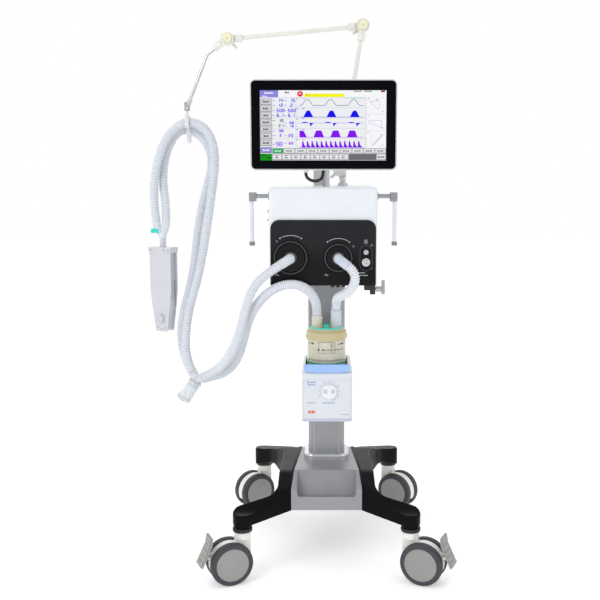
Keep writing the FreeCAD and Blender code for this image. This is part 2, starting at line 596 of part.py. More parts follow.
def rails():
    """The accessory rails on both sides with their upright posts, and the dock clamp underneath."""
    centre, reach = size("casing_centre"), size("rail_reach")
    face = size("casing_wide") / 2
    height, depth = size("rail_height"), size("rail_depth")
    bars, posts = [], []
    for side in (-1, 1):
        bar = rod("rail_round", reach - face, (centre + side * face, depth, height), Vector(side, 0, 0))
        flange = rod(11, 4, (centre + side * face, depth, height), Vector(side, 0, 0))
        block = box(20, 20, 24, (centre + side * (reach - 3) - 10, depth - 10, height - 14))
        block = rounded(block, 3, vertical)
        hole = rod("post_round", 60, (centre + side * reach, depth, height - 30))
        bars.append(cut(fuse(bar, flange, block), hole))
        upright = rod("post_round", "rail_height + 10 - post_foot", (centre + side * reach, depth, "post_foot"))
        foot = rod(7.2, 10, (centre + side * reach, depth, "post_foot - 4"))
        posts.append(fuse(upright, foot))
    node("side_rails", group(*bars))
    node("rail_posts", group(*posts))

    z, y = "knob_height", "knob_depth"
    bracket = fuse(box(30, 26, 14, (102, "knob_depth - 13", "casing_base - 14")),
                   box(14, 20, 14, (118, "knob_depth - 10", "casing_base - 26")))
    tabs = [box(9, 9, 9, (x, -120, "casing_base - 9")) for x in (12, 27, 42)]
    shaft_hole = rod(4.3, 40, (112, y, z), TO_RIGHT)
    node("dock_clamp", group(cut(bracket, shaft_hole), *tabs))
    shaft = rod(4, 30, (116, y, z), TO_RIGHT)
    boss = cone(8, 6.5, 20, (134, y, z), TO_RIGHT)
    wing = plate("YZ", [(-11, -14, 3), (11, -14, 3), (6, 24, 3), (-6, 24, 3)], 9, (149, y, z))
    node("dock_knob", fuse(shaft, boss, rounded(wing, 1.5, lambda e: e.BoundBox.XMin > 157)))


# ---------------------------------------------------------------- monitor
def monitor():
    """The mast and the arm's socket on the casing, the swivelling neck and the tilting wide monitor."""
    top = "casing_base + casing_tall"
    mast = rod("mast_round", "mast_top - casing_base - casing_tall", ("mast_side", "mast_depth", top))
    foot = fuse(rod(15, 5, ("arm_side", "arm_depth", top)), rod(13, 9, ("arm_side", "arm_depth", top)))
    socket = cut(foot, rod(5.05, 20, ("arm_side", "arm_depth", top)))
    node("top_mounts", group(mast, socket))

    hinge = "monitor_height"
    sleeve = rod("neck_round", 118, ("mast_side", "mast_depth", 1100))
    bore = rod("mast_round + 0.05", "mast_top - 1099.5", ("mast_side", "mast_depth", 1100 - 0.3))
    duct = box(23, 20, 157, (-35.5, "mast_depth - 10", 1041))
    arm = box(22, 30, 30, ("mast_side - 11", "mast_depth - 30", "monitor_height - 15"))
    pin = rod(6, 64, ("mast_side - 32", "tilt_depth", hinge), TO_RIGHT)
    eye = rod(14, 24, ("mast_side - 12", "tilt_depth", hinge), TO_RIGHT)
    node("monitor_neck", fuse(cut(fuse(sleeve, duct), bore), arm, eye, pin))

    front = "monitor_front + glass_thick"
    shell = rounded_block("XZ", "monitor_wide", "monitor_tall", "monitor_corner", "monitor_deep",
                          ("monitor_side", "monitor_front + glass_thick + monitor_deep", "monitor_height"))
    shell = rounded(shell, 5, lambda e: e.BoundBox.YMin > size("monitor_front") + size("glass_thick")
                    + size("monitor_deep") - 0.1)
    pack = rounded_block("XZ", 180, 120, 8, 12,
                         ("monitor_side", "monitor_front + glass_thick + monitor_deep + 12", "monitor_height"))
    ears = [box(9, 26, 32, ("mast_side + %s" % x, "tilt_depth - 18", "monitor_height - 16")) for x in (-27, 18)]
    pin_hole = rod(6.05, 90, ("mast_side - 45", "tilt_depth", hinge), TO_RIGHT)
    relief = rod(15, 26, ("mast_side - 13", "tilt_depth", hinge), TO_RIGHT)
    gland = rod(6, 8, (-55, -140, "monitor_height - monitor_tall / 2 - 6"))
    node("monitor_shell", cut(fuse(shell, pack, *ears, gland), pin_hole, relief))
    glass = rounded_block("XZ", "monitor_wide - 2 * glass_inset", "monitor_tall - 2 * glass_inset",
                          "monitor_corner - glass_inset", "glass_thick",
                          ("monitor_side", front, "monitor_height"))
    node("monitor_glass", glass)


# ---------------------------------------------------------------- support arm
def knuckle(x, z, front_half):
    """One half of a hinge of the arm, in front of the arm's middle plane or behind it."""
    start = size("arm_depth") - 0.2 if front_half else size("arm_depth") + size("knuckle_thick") + 0.2
    return rod("knuckle_round", "knuckle_thick", (x, start, z), TO_FRONT)


def link(x, z, x_end, z_end, front_half):
    """An arm tube between two hinges with a sleeve at each end, in front of the middle plane or behind."""
    shift = (size("knuckle_thick") / 2 + 0.2) * (-1 if front_half else 1)
    y = size("arm_depth") + shift
    start, end = Vector(x, y, z), Vector(x_end, y, z_end)
    along = (end - start).normalize()
    pieces = [rod("arm_tube_round", (end - start).Length - 50, tuple(start + along * 25), along)]
    tilt = Rotation(UP, along)
    for place, way in ((start, 1), (end, -1)):
        pieces.append(rod("sleeve_round", "sleeve_long - 21", tuple(place + along * way * 21), along * way))
        near = place if way > 0 else end - along * 30
        block = box(20, "knuckle_thick", 30, tuple(near + tilt.multVec(Vector(-10, 0, 0))
                                                   - Vector(0, size("knuckle_thick") / 2, 0)), tilt)
        pieces.append(block)
    return pieces


def lever(x, y, z, angle):
    """A small clamp lever that points away from its hinge in the XZ plane."""
    turn = Rotation(Vector(0, 1, 0), -angle)
    side = turn.multVec(Vector(0, 0, -1))
    return box(34, 4, 8, tuple(Vector(x, y, z) + side * 4), turn)


def support_arm():
    """The hose arm: turning foot, two tubes, the bent chrome rod and the hose hanger."""
    x, y = size("arm_side"), size("arm_depth")
    root_x, root_z = size("arm_root_side"), size("arm_root_height")
    stub = fuse(rod(9, root_z - 1048.4 - 20, (x, y, 1048.4)), rod(5, 12, (x, y, 1039.4)))
    cheek = box(20, "knuckle_thick", 26, (root_x - 2, "arm_depth + 0.2", root_z - 24))
    back_lever = lever(root_x, y + size("knuckle_thick") + 0.2, root_z, 222)
    node("arm_base", fuse(stub, cheek, knuckle(root_x, root_z, False), back_lever))

    elbow_x, elbow_z = size("elbow_side"), size("elbow_height")
    wrist_x, wrist_z = size("wrist_side"), size("wrist_height")
    lower = link(root_x, root_z, elbow_x, elbow_z, True)
    node("arm_lower_link", fuse(knuckle(root_x, root_z, True), knuckle(elbow_x, elbow_z, True), *lower))
    upper = link(elbow_x, elbow_z, wrist_x, wrist_z, False)
    levers = [lever(elbow_x, y + size("knuckle_thick") + 0.2, elbow_z, 218),
              lever(wrist_x, y + size("knuckle_thick") + 0.2, wrist_z, -42)]
    halves = [knuckle(elbow_x, elbow_z, False), knuckle(wrist_x, wrist_z, False)]
    node("arm_upper_link", fuse(*halves, *upper, *levers))

    plane = y - size("knuckle_thick") / 2 - 0.2
    wrist = Vector(wrist_x, plane, wrist_z)
    away = Vector(-0.79, 0, -0.613).normalize()
    tilt = Rotation(UP, away)
    corner = wrist + tilt.multVec(Vector(-10, -size("knuckle_thick") / 2, 0))
    block = box(20, "knuckle_thick", 30, tuple(corner), tilt)
    bore = rod("rod_round", 60, tuple(wrist + away * 26), away)
    nose = rod("sleeve_round - 2", 25, tuple(wrist + away * 21), away)
    sleeve = fuse(knuckle(wrist_x, wrist_z, True), block, nose)
    node("arm_end_sleeve", cut(sleeve, bore))
    hook = Vector(size("hook_side"), plane, size("hook_height"))
    begin = wrist + away * 26
    bend = begin + away * 44
    down = (hook - bend).normalize()
    long_run = (hook - bend).Length - 14
    turn_piece = ball("rod_round", tuple(bend))
    clevis = fuse(rod(7, 20, tuple(hook - down * 26), down), *[
        box(14, 3.4, 24, tuple(hook - Vector(7, 0, 8) + Vector(0, v, 0))) for v in (-6.7, 3.3)])
    pin_hole = rod(2.6, 30, tuple(hook + Vector(0, 15, 0)), TO_FRONT)
    node("arm_end_rod", cut(fuse(rod("rod_round", 44, tuple(begin), away), turn_piece,
                                 rod("rod_round", long_run, tuple(bend), down), clevis), pin_hole))

    pin = rod(2.5, 14, tuple(hook + Vector(0, 7, 0)), TO_FRONT)
    stem = box(7, 6, 26, (hook.x - 3.5, hook.y - 3, hook.z - 22))
    bar = box(8, 44, 6, (hook.x - 4, 2, hook.z - 24))
    far_leg = box(8, 6, 22, (hook.x - 4, 35, hook.z - 43))
    rings = []
    for ring_y, ring_z in ((8, 1216), (38, 1197)):
        at = (hook.x - 4, ring_y, ring_z)
        rings.append(cut(rod(17.5, 12, at, TO_RIGHT), rod(15, 12, at, TO_RIGHT)))
    clip = rod(6, 22, (hook.x + 2, 38, 1159.5))
    node("hose_hanger", fuse(stem, pin, bar, far_leg, *rings, clip))


# ---------------------------------------------------------------- breathing circuit
def fittings():
    """The elbows at the valves, the cuffs at the chamber, the water traps and the Y-piece."""
    face = size("casing_front") - size("panel_thick") - size("ring_deep") - 6
    elbows = []
    for side, way in (("exp_port_side", Vector(-0.85, 0, -0.53)), ("insp_port_side", Vector(0.79, 0, -0.613))):
        start = Vector(size(side), face, size("port_height"))
        centre = start - Vector(0, 22, 0)
        way.normalize()
        inlet = rod("hose_round", 22, tuple(start), TO_FRONT)
        elbows.append(fuse(inlet, ball("hose_round", tuple(centre)), rod("hose_round", 31, tuple(centre), way)))
    depth, side = "chamber_depth", "chamber_port_side"
    collar_base = "chamber_top"
    cuffs = []
    for x, top in (("-chamber_port_side", 690), ("chamber_port_side", 705)):
        sleeve = rod("cuff_round", "%s - chamber_top" % top, (x, depth, collar_base))
        port = rod("chamber_port_round", 24, (x, depth, collar_base))
        cuffs.append(cut(sleeve, port))
    node("hose_connectors", group(*elbows, *cuffs))

    traps = []
    for head, into, out, hang in (
        (Vector(-366, -72, 500), Vector(0.85, -0.35, 0.4), Vector(-0.45, 0.15, 0.88),
         Vector(-0.5, -0.05, -0.86)),
        (Vector(-372, -32, 486), Vector(0.9, -0.3, 0.3), Vector(-0.5, 0.12, 0.86),
         Vector(-0.66, 0.08, -0.75)),
    ):
        ports = [rod(12, 26, tuple(head), way.normalize()) for way in (into, out)]
        hang.normalize()
        lid = rod(15, 12, tuple(head - hang * 4), hang)
        cup = cone("trap_cup_round", "trap_cup_round - 3", "trap_cup_long", tuple(head + hang * 8), hang)
        traps.append(fuse(*ports, ball(13, tuple(head)), lid, cup))
    node("water_traps", group(*traps))

    x, y = size("lung_side"), size("lung_depth")
    middle = Vector(x, y, 903)
    arms = []
    for end, way in ((Vector(-486, 22, 940), Vector(-4, -1, 36)), (Vector(-458, 22, 945), Vector(1, 2, 43))):
        bend = end - way.normalize() * 20
        arms += [rod(11.5, 20, tuple(bend), way), ball(11.5, tuple(bend))]
        arms.append(rod(11.5, (bend - middle).Length, tuple(middle), bend - middle))
    stem = cone(11.5, 10, 14, (x, y, 903), Vector(0, 0, -1))
    tag = rod(5, 26, (x - 5, y - 8, 912), Vector(-1, 0, 0))
    node("y_piece", fuse(*arms, ball(11.5, (x, y, 903)), stem, tag))


def lung():
    """The test lung: two hinged plates and a clamp bar round a soft bellows, on a swivel connector."""
    x, y, top = size("lung_side"), size("lung_depth"), size("lung_top")
    turn = Rotation(UP, -26)
    half, tall = size("lung_wide") / 2, top - size("lung_base")
    outline = [(-half, 0, 3), (-half, -120, 60), (-half + 5, -165, 60), (-20, -tall, 5), (20, -tall, 5),
               (half - 5, -165, 60), (half, -120, 60), (half, 0, 3)]
    gap = size("lung_gap")
    pieces = []
    for offset in (gap / 2 + 4, -gap / 2):
        shift = turn.multVec(Vector(0, offset, 0))
        pieces.append(plate("XZ", outline, "lung_plate", (x + shift.x, y + shift.y, top - 0.5), turn))
    bar_at = turn.multVec(Vector(-half - 2, -gap / 2 - 7, 0))
    bar = rounded(box("lung_wide + 4", gap + 14, 16, (x + bar_at.x, y + bar_at.y, top - 16), turn), 2, vertical)
    connector = rod(9, 24, (x, y, top - 2))
    boss_at = turn.multVec(Vector(0, -gap / 2 - 4, 0))
    boss_way = turn.multVec(TO_FRONT)
    boss = rod(11, 7, (x + boss_at.x, y + boss_at.y, top - 205), boss_way)
    node("lung_plates", fuse(*pieces, bar, connector, boss))
    inner = turn.multVec(Vector(0, gap / 2 - 0.2, 0))
    bag = [(-half + 8, 0, 3), (-half + 8, -150, 60), (-14, -tall + 18, 8), (14, -tall + 18, 8),
           (half - 8, -150, 60), (half - 8, 0, 3)]
    node("lung_bellows", plate("XZ", bag, gap - 0.4, (x + inner.x, y + inner.y, top - 16), turn))


HOSES = {
    "exp_hose_lower": [
        (-122.3, -196, 835.6), (-158, -196, 813.4), (-193, -197, 780), (-214, -192, 727), (-231, -178, 655),
        (-262, -146, 585), (-305.8, -96.8, 528.3), (-343.9, -81.1, 510.4),
    ],
    "insp_hose_lower": [
        (-26, -120, 690), (-26, -120, 716), (-36, -148, 748), (-57, -180, 774), (-88, -192, 785),
        (-121, -192, 781), (-157, -186, 761), (-191, -170, 723), (-214, -146, 676), (-228, -122, 620),
        (-248, -100, 561), (-282, -74, 520), (-324.1, -47.9, 501.9), (-348.3, -39.9, 493.9),
    ],
    "exp_hose_upper": [
        (-377.7, -68.1, 522.9), (-396.6, -61.8, 559.9), (-397, -50, 629), (-388, -38, 696), (-368, -28, 763),
        (-351, -20, 837), (-338, -14, 916), (-324, -8, 1008), (-313, -3, 1084), (-313, 2, 1139),
        (-327, 5, 1184), (-352, 7, 1210), (-388, 8, 1219), (-423, 9, 1203), (-455, 9, 1165),
        (-477, 8, 1106), (-489, 12, 1041), (-490, 21, 976), (-486, 22, 940),
    ],
    "insp_hose_upper": [
        (-385, -28.9, 508.4), (-406.4, -23.7, 545.2), (-420, -10, 605), (-414, 0, 670), (-394, 8, 742),
        (-378, 14, 816), (-372, 20, 885), (-357, 26, 978), (-338, 32, 1044), (-325, 36, 1098),
        (-331, 38, 1143), (-356, 38, 1180), (-391, 38, 1200), (-422, 38, 1191), (-449, 38, 1151),
        (-463, 36, 1098), (-466, 32, 1044), (-457, 24, 988), (-458, 22, 945),
    ],
    "chamber_hose": [
        (56, -196, 833), (71, -196, 821.4), (77, -195, 796), (68, -184, 771), (49, -160, 752),
        (30, -134, 742), (26, -120, 725), (26, -120, 705),
    ],
}
MONITOR_CABLE = [
    (-55, -140, 1077), (-55, -140, 1069), (-48, -139, 1059), (-31, -131, 1053.5), (-15, -117, 1058),
    (-9, -106, 1071), (-9, -98, 1087), (-9, -91, 1098), (-9, -80.4, 1102),
]


def hoses():
    """The limbs of the breathing circuit and the monitor's cable."""
    for name, route in HOSES.items():
        pipe(name, route, size("hose_round"))
    pipe("monitor_cable", MONITOR_CABLE, size("cable_round"))


base()
casters()
column()
humidifier()
casing()
monitor()
support_arm()
fittings()
lung()
hoses()

# ---------------------------------------------------------------- check and write
doc.recompute()
for thing in doc.Objects:
    if "Invalid" in thing.State or "Error" in thing.State:
        raise ValueError("%s (%s) failed: %s" % (thing.Name, thing.Label, thing.State))
os.makedirs("parts", exist_ok=True)
for thing in NODES:
    if thing.Shape.isNull() or not thing.Shape.isValid() or not thing.Shape.Solids:
        raise ValueError(thing.Label + " has no valid solid")
    thing.Shape.exportStep("parts/%s.step" % thing.Label)
print(len(NODES), "sub-parts written")
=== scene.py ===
"""The looks of the mechanical ventilator on its wheeled trolley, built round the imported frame. Metres."""
import json
import math

import bmesh
import bpy
from mathutils import Matrix, Vector


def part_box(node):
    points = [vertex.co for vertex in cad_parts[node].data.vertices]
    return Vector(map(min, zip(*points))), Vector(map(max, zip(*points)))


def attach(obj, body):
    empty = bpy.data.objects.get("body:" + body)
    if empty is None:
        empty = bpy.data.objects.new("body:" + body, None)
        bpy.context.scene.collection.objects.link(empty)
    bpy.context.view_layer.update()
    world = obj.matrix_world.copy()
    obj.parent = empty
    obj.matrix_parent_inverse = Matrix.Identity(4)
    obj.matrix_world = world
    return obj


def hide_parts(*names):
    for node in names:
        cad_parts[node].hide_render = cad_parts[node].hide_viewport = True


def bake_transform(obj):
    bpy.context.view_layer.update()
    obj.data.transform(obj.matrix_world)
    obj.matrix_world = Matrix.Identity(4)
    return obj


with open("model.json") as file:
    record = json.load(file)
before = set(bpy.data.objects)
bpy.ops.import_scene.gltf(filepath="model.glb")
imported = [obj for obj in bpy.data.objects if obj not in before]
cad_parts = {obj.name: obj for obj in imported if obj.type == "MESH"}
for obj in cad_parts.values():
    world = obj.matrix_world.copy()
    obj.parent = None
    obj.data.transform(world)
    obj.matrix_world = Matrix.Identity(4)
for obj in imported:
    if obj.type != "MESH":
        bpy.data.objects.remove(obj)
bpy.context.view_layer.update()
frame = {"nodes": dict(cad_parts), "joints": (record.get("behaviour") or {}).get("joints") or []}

UP = Vector((0, 0, 1))
TO_FRONT = Vector((0, -1, 0))
TO_RIGHT = Vector((1, 0, 0))
JOINTS = {joint["name"]: joint for joint in frame["joints"]}
LOOKING_DOWN = math.radians(8.1)
SIDE_SHIFT = -0.0424  # of the picture's width


def joint_place(name):
    """Where the joint's axis lies."""
    return Vector(JOINTS[name]["pos_m"])


# ---------------------------------------------------------------- camera
def camera():
    """A view from the front, at the height of the monitor's lower edge and tipped down."""
    data = bpy.data.cameras.new("Camera")
    data.sensor_width = 36
    data.lens = 55
    data.shift_x = SIDE_SHIFT
    eye = bpy.data.objects.new("Camera", data)
    eye.location = (-0.003, -2.6, 1.085)
    eye.rotation_euler = (math.pi / 2 - LOOKING_DOWN, 0, 0)
    bpy.context.scene.collection.objects.link(eye)
    bpy.context.scene.camera = eye


camera()


# ---------------------------------------------------------------- colours and materials
def tone(red, green, blue):
    """A colour named by its three usual 0 to 255 values."""
    return tuple(
        (v / 255 / 12.92) if v <= 10 else ((v / 255 + 0.055) / 1.055) ** 2.4 for v in (red, green, blue)
    ) + (1,)


def shade(colour, factor):
    """A lighter or darker version of a colour."""
    return tuple(min(1, v * factor) for v in colour[:3]) + (1,)


def add(made, kind, **values):
    """A new shader node of the material or world, with the stated inputs."""
    node = made.node_tree.nodes.new("ShaderNode" + kind)
    for name, value in values.items():
        node.inputs[name.replace("_", " ")].default_value = value
    return node


def wire(made, *rows):
    """Joins shader nodes: each row names a node, its output, the next node and its input."""
    for source, output, target, socket in rows:
        made.node_tree.links.new(source.outputs[output], target.inputs[socket])


def repaint(made, factor, colour, keep):
    """Mixes a colour into the base colour. The old one goes to the mix's socket named by keep."""
    base = made.node_tree.nodes["Principled BSDF"].inputs["Base Color"]
    links = made.node_tree.links
    source = base.links[0].from_socket
    mix = add(made, "Mix")
    mix.data_type = "RGBA"
    links.new(factor, mix.inputs["Factor"])
    links.new(source, mix.inputs[keep])
    mix.inputs["B" if keep == "A" else "A"].default_value = colour
    links.new(mix.outputs["Result"], base)


def material(name, colour, rough=0.4, metal=0.0, mottle=0.05, patch=18, grain=0.12, grain_size=900, **sockets):
    """A moulded or painted surface: its colour drifts in soft patches, and a fine grain breaks its gloss."""
    made = bpy.data.materials.new(name)
    made.use_nodes = True
    shader = made.node_tree.nodes["Principled BSDF"]
    for socket, value in {"Metallic": metal, **sockets}.items():
        shader.inputs[socket.replace("_", " ")].default_value = value
    place = add(made, "TexCoord")
    drift = add(made, "TexNoise", Scale=patch, Detail=5)
    blend = add(made, "ValToRGB")
    for stop, position, factor in zip(blend.color_ramp.elements, (0.3, 0.7), (1 - mottle, 1 + mottle)):
        stop.position = position
        stop.color = shade(colour, factor)
    gloss = add(made, "MapRange", To_Min=max(0.02, rough - 0.05), To_Max=min(1, rough + 0.05))
    fine = add(made, "TexNoise", Scale=grain_size, Detail=3)
    bump = add(made, "Bump", Strength=grain, Distance=0.0003)
    wire(
        made, (place, "Object", drift, "Vector"), (drift, "Fac", blend, "Fac"),
        (blend, "Color", shader, "Base Color"), (drift, "Fac", gloss, "Value"),
        (gloss, "Result", shader, "Roughness"), (place, "Object", fine, "Vector"),
        (fine, "Fac", bump, "Height"), (bump, "Normal", shader, "Normal"),
    )
    return made


def banded(made, axis, limit, above, colour, soft=0.0002):
    """Gives the material another colour above or below a limit along one axis."""
    place = add(made, "TexCoord")
    split = add(made, "SeparateXYZ")
    test = add(made, "MapRange", From_Min=limit - soft, From_Max=limit + soft, To_Min=int(not above),
               To_Max=int(above))
    wire(made, (place, "Object", split, "Vector"), (split, axis, test, "Value"))
    repaint(made, test.outputs["Result"], colour, "A")
    return made


def brushed(made, axis, strength=0.25):
    """Adds fine drawn lines along one axis, as extruded or brushed metal has."""
    bump = next(n for n in made.node_tree.nodes if n.type == "BUMP")
    place = add(made, "TexCoord")
    stretch = add(made, "Mapping", Scale=[20 if n == axis else 900 for n in range(3)])
    lines = add(made, "TexNoise", Scale=1, Detail=2)
    wire(made, (place, "Object", stretch, "Vector"), (stretch, "Vector", lines, "Vector"),
         (lines, "Fac", bump, "Height"))
    bump.inputs["Strength"].default_value = strength
    return made


def lit(name, colour, glow=0.8):
    """A patch of the display: its own light, and a little gloss."""
    return material(name, shade(colour, 0.14), rough=0.3, mottle=0.015, grain=0.02, Specular_IOR_Level=0.1,
                    Emission_Color=colour, Emission_Strength=glow)


WHITE_PAINT = material("WhitePaint", tone(224, 229, 234), rough=0.38, mottle=0.02, grain=0.2, grain_size=1400)
REAR_PAINT = material("RearPaint", tone(198, 202, 207), rough=0.45, mottle=0.03, grain=0.25, grain_size=1400)
# The front panel turns darker towards its bottom: painted shade, blended softly round the height 0.862.
CHARCOAL_SHADED_BELOW = banded(material("CharcoalShadedBelow", tone(32, 33, 36), rough=0.36, mottle=0.1, grain=0.16, grain_size=1600,
                           Specular_IOR_Level=0.16), "Z", 0.862, False, tone(15, 15, 17), soft=0.028)
PORT_BLACK = material("PortBlack", tone(12, 12, 14), rough=0.3, mottle=0.15, grain=0.2, Specular_IOR_Level=0.22)
LEG_BLACK = material("LegBlack", tone(6, 6, 8), rough=0.34, mottle=0.12, grain=0.4, grain_size=700,
                     Specular_IOR_Level=0.08)
BASE_SILVER = material("BaseSilver", tone(149, 149, 153), rough=0.38, metal=0.3, mottle=0.04, grain=0.25)
STEEL_GREY = material("SteelGrey", tone(92, 94, 98), rough=0.5, mottle=0.1, grain=0.3)
FENDER_WHITE = material("FenderWhite", tone(236, 234, 229), rough=0.32, mottle=0.03, grain=0.08)
TYRE_GREY = material("TyreGrey", tone(58, 61, 68), rough=0.62, mottle=0.12, grain=0.5, grain_size=500)
HUB_GREY = material("HubGrey", tone(150, 150, 148), rough=0.5, mottle=0.05, grain=0.3, grain_size=800)
PEDAL_GREY = material("PedalGrey", tone(150, 150, 146), rough=0.48, mottle=0.06, grain=0.3)
PEDAL_DARK = material("PedalDark", tone(70, 71, 73), rough=0.6, mottle=0.08, grain=0.3)
EXTRUSION = brushed(
    material("Extrusion", tone(153, 154, 157), rough=0.36, metal=0.5, mottle=0.03), axis=2, strength=0.15)
EXTRUSION_EDGE = material("ExtrusionEdge", tone(168, 169, 172), rough=0.35, mottle=0.03, grain=0.1)
POLISHED = material("PolishedCollar", tone(214, 215, 218), rough=0.2, metal=0.7, mottle=0.03, grain=0.05)
HEATER_GREY = banded(material("HeaterGrey", tone(214, 218, 225), rough=0.36, mottle=0.02, grain=0.12), "Z",
                     0.4175, False, tone(190, 198, 214))
DIAL_GREY = material("DialGrey", tone(226, 230, 236), rough=0.3, mottle=0.02, grain=0.1)
GUARD_BLUE = material("GuardBlue", tone(150, 186, 240), rough=0.3, mottle=0.04, grain=0.06)
HOT_PLATE = brushed(material("HotPlate", tone(150, 152, 156), rough=0.35, metal=0.9), axis=0)
CLEAR_DOME = material(
    "ClearDome", tone(238, 235, 218), rough=0.1, mottle=0.06, patch=90, grain=0.05, Transmission_Weight=0.4,
    IOR=1.15)
banded(CLEAR_DOME, "Z", 0.626, True, tone(226, 217, 178))
SEALS = banded(material("Seals", tone(30, 158, 132), rough=0.4, grain=0.1), "Z",
               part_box("chamber_seals")[1].z - 0.012, True, tone(62, 214, 200))
HOT_METAL = material("BrightMetal", tone(205, 207, 210), rough=0.16, metal=1.0, mottle=0.05, grain=0.05)
GAS_METAL = banded(material("GasMetal", tone(198, 200, 203), rough=0.22, metal=0.4, grain=0.05), "X",
                   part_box("main_casing")[0].x - 0.0036, False, tone(186, 206, 96))
ARM_IVORY = material("ArmIvory", tone(226, 226, 219), rough=0.34, mottle=0.03, grain=0.15)
CAP_YELLOW = material("CapYellow", tone(236, 233, 200), rough=0.35, mottle=0.04, grain=0.1)
CLIP_WHITE = material("ClipWhite", tone(232, 235, 238), rough=0.3, mottle=0.03, grain=0.08,
                      Transmission_Weight=0.15, IOR=1.45)
LUNG_WHITE = material("LungWhite", tone(202, 204, 209), rough=0.38, mottle=0.02, grain=0.15)
BELLOWS = material("Bellows", tone(206, 208, 213), rough=0.6, mottle=0.12, grain=0.35, grain_size=500)
SCREW = material("Screw", tone(168, 168, 170), rough=0.3, metal=0.9, mottle=0.06)
RAIL_STEEL = brushed(material("RailSteel", tone(160, 161, 165), rough=0.32, metal=0.85), axis=0)
POST_GLOSS = material("PostGloss", tone(222, 226, 236), rough=0.14, metal=0.15, mottle=0.03, grain=0.04)
END_GREY = material("EndGrey", tone(128, 130, 134), rough=0.45, mottle=0.06, grain=0.25)
CLAMP_BLACK = material("ClampBlack", tone(27, 27, 29), rough=0.4, mottle=0.12, grain=0.3)
KNOB_STEEL = material("KnobSteel", tone(182, 182, 178), rough=0.35, metal=0.8, mottle=0.1, grain=0.4,
                      grain_size=300)
MAST_SILVER = material("MastSilver", tone(208, 211, 217), rough=0.26, metal=0.35, mottle=0.03, grain=0.06)
NECK_BEIGE = material("NeckBeige", tone(214, 212, 206), rough=0.36, mottle=0.03, grain=0.15)
MONITOR_SILVER = material("MonitorSilver", tone(222, 224, 227), rough=0.27, mottle=0.02, grain=0.08)
MONITOR_SEAM = material("MonitorSeam", tone(120, 122, 126), rough=0.5, mottle=0.06, grain=0.2)
BEZEL = material("Bezel", tone(6, 7, 12), rough=0.16, mottle=0.2, grain=0.02, Specular_IOR_Level=0.05)
BLOWER_GREY = material("BlowerGrey", tone(72, 74, 78), rough=0.5, mottle=0.08, grain=0.3)
IMPELLER = material("Impeller", tone(226, 226, 226), rough=0.4, mottle=0.03, grain=0.1)
BATTERY = material("BatteryWrap", tone(58, 61, 66), rough=0.35, mottle=0.1, grain=0.1)
BOARD = material("Board", tone(26, 96, 62), rough=0.4, mottle=0.15, patch=120, grain=0.2)
CABLE = material("CableBlack", tone(17, 17, 19), rough=0.45, mottle=0.15, grain=0.3)
RUBBER_DARK = material("RubberDark", tone(30, 31, 34), rough=0.6, mottle=0.1, grain=0.3)
FITTING = material("Fitting", tone(230, 234, 240), rough=0.22, mottle=0.02, grain=0.05,
                   Transmission_Weight=0.3, IOR=1.3)
CUFFS = banded(material("Cuffs", tone(226, 231, 238), rough=0.24, mottle=0.02, grain=0.05,
                        Transmission_Weight=0.25, IOR=1.3), "Z", 0.69, False, tone(238, 234, 212), soft=0.014)
banded(CUFFS, "X", 0.01, True, tone(220, 229, 242))
TRAP_CLEAR = material("TrapClear", tone(240, 243, 246), rough=0.08, mottle=0.02, grain=0.03,
                      Transmission_Weight=0.6, IOR=1.2)
TAG_CYAN = material("TagCyan", tone(60, 214, 202), rough=0.4, mottle=0.04, grain=0.1)
MARK_WHITE = material("MarkWhite", tone(196, 198, 203), rough=0.5, mottle=0.02, grain=0.05)
MARK_GREY = material("MarkGrey", tone(120, 124, 132), rough=0.5, mottle=0.03, grain=0.05)
MARK_BLUE = material("MarkBlue", tone(104, 134, 196), rough=0.5, mottle=0.03, grain=0.05)
MARK_RED = material("MarkRed", tone(214, 60, 62), rough=0.45, mottle=0.04, grain=0.05)
MARK_DARK = material("MarkDark", tone(52, 54, 60), rough=0.5, mottle=0.05, grain=0.05)
SEAM_GREY = material("SeamGrey", tone(138, 141, 147), rough=0.55, mottle=0.05, grain=0.1)
LABEL_SILVER = material("LabelSilver", tone(206, 208, 211), rough=0.35, metal=0.4, mottle=0.03, grain=0.05)
RIM_GREY = material("RimGrey", tone(78, 80, 86), rough=0.35, mottle=0.05, grain=0.1)
RING_HIGHLIGHT_GREY = material("RingHighlightGrey", tone(72, 74, 79), rough=0.18, mottle=0.05, grain=0.05)
FASCIA_LINE = material("FasciaLine", tone(184, 192, 208), rough=0.4, mottle=0.03, grain=0.05)
DIMPLE_SHADE_GREY = material("DimpleShadeGrey", tone(196, 201, 210), rough=0.4, mottle=0.04, grain=0.05)
MARK_ORANGE = material("MarkOrange", tone(244, 150, 42), rough=0.45, mottle=0.04, grain=0.05)
WATER = material("Water", tone(226, 236, 238), rough=0.03, mottle=0.01, grain=0.01, Transmission_Weight=0.95,
                 IOR=1.33)

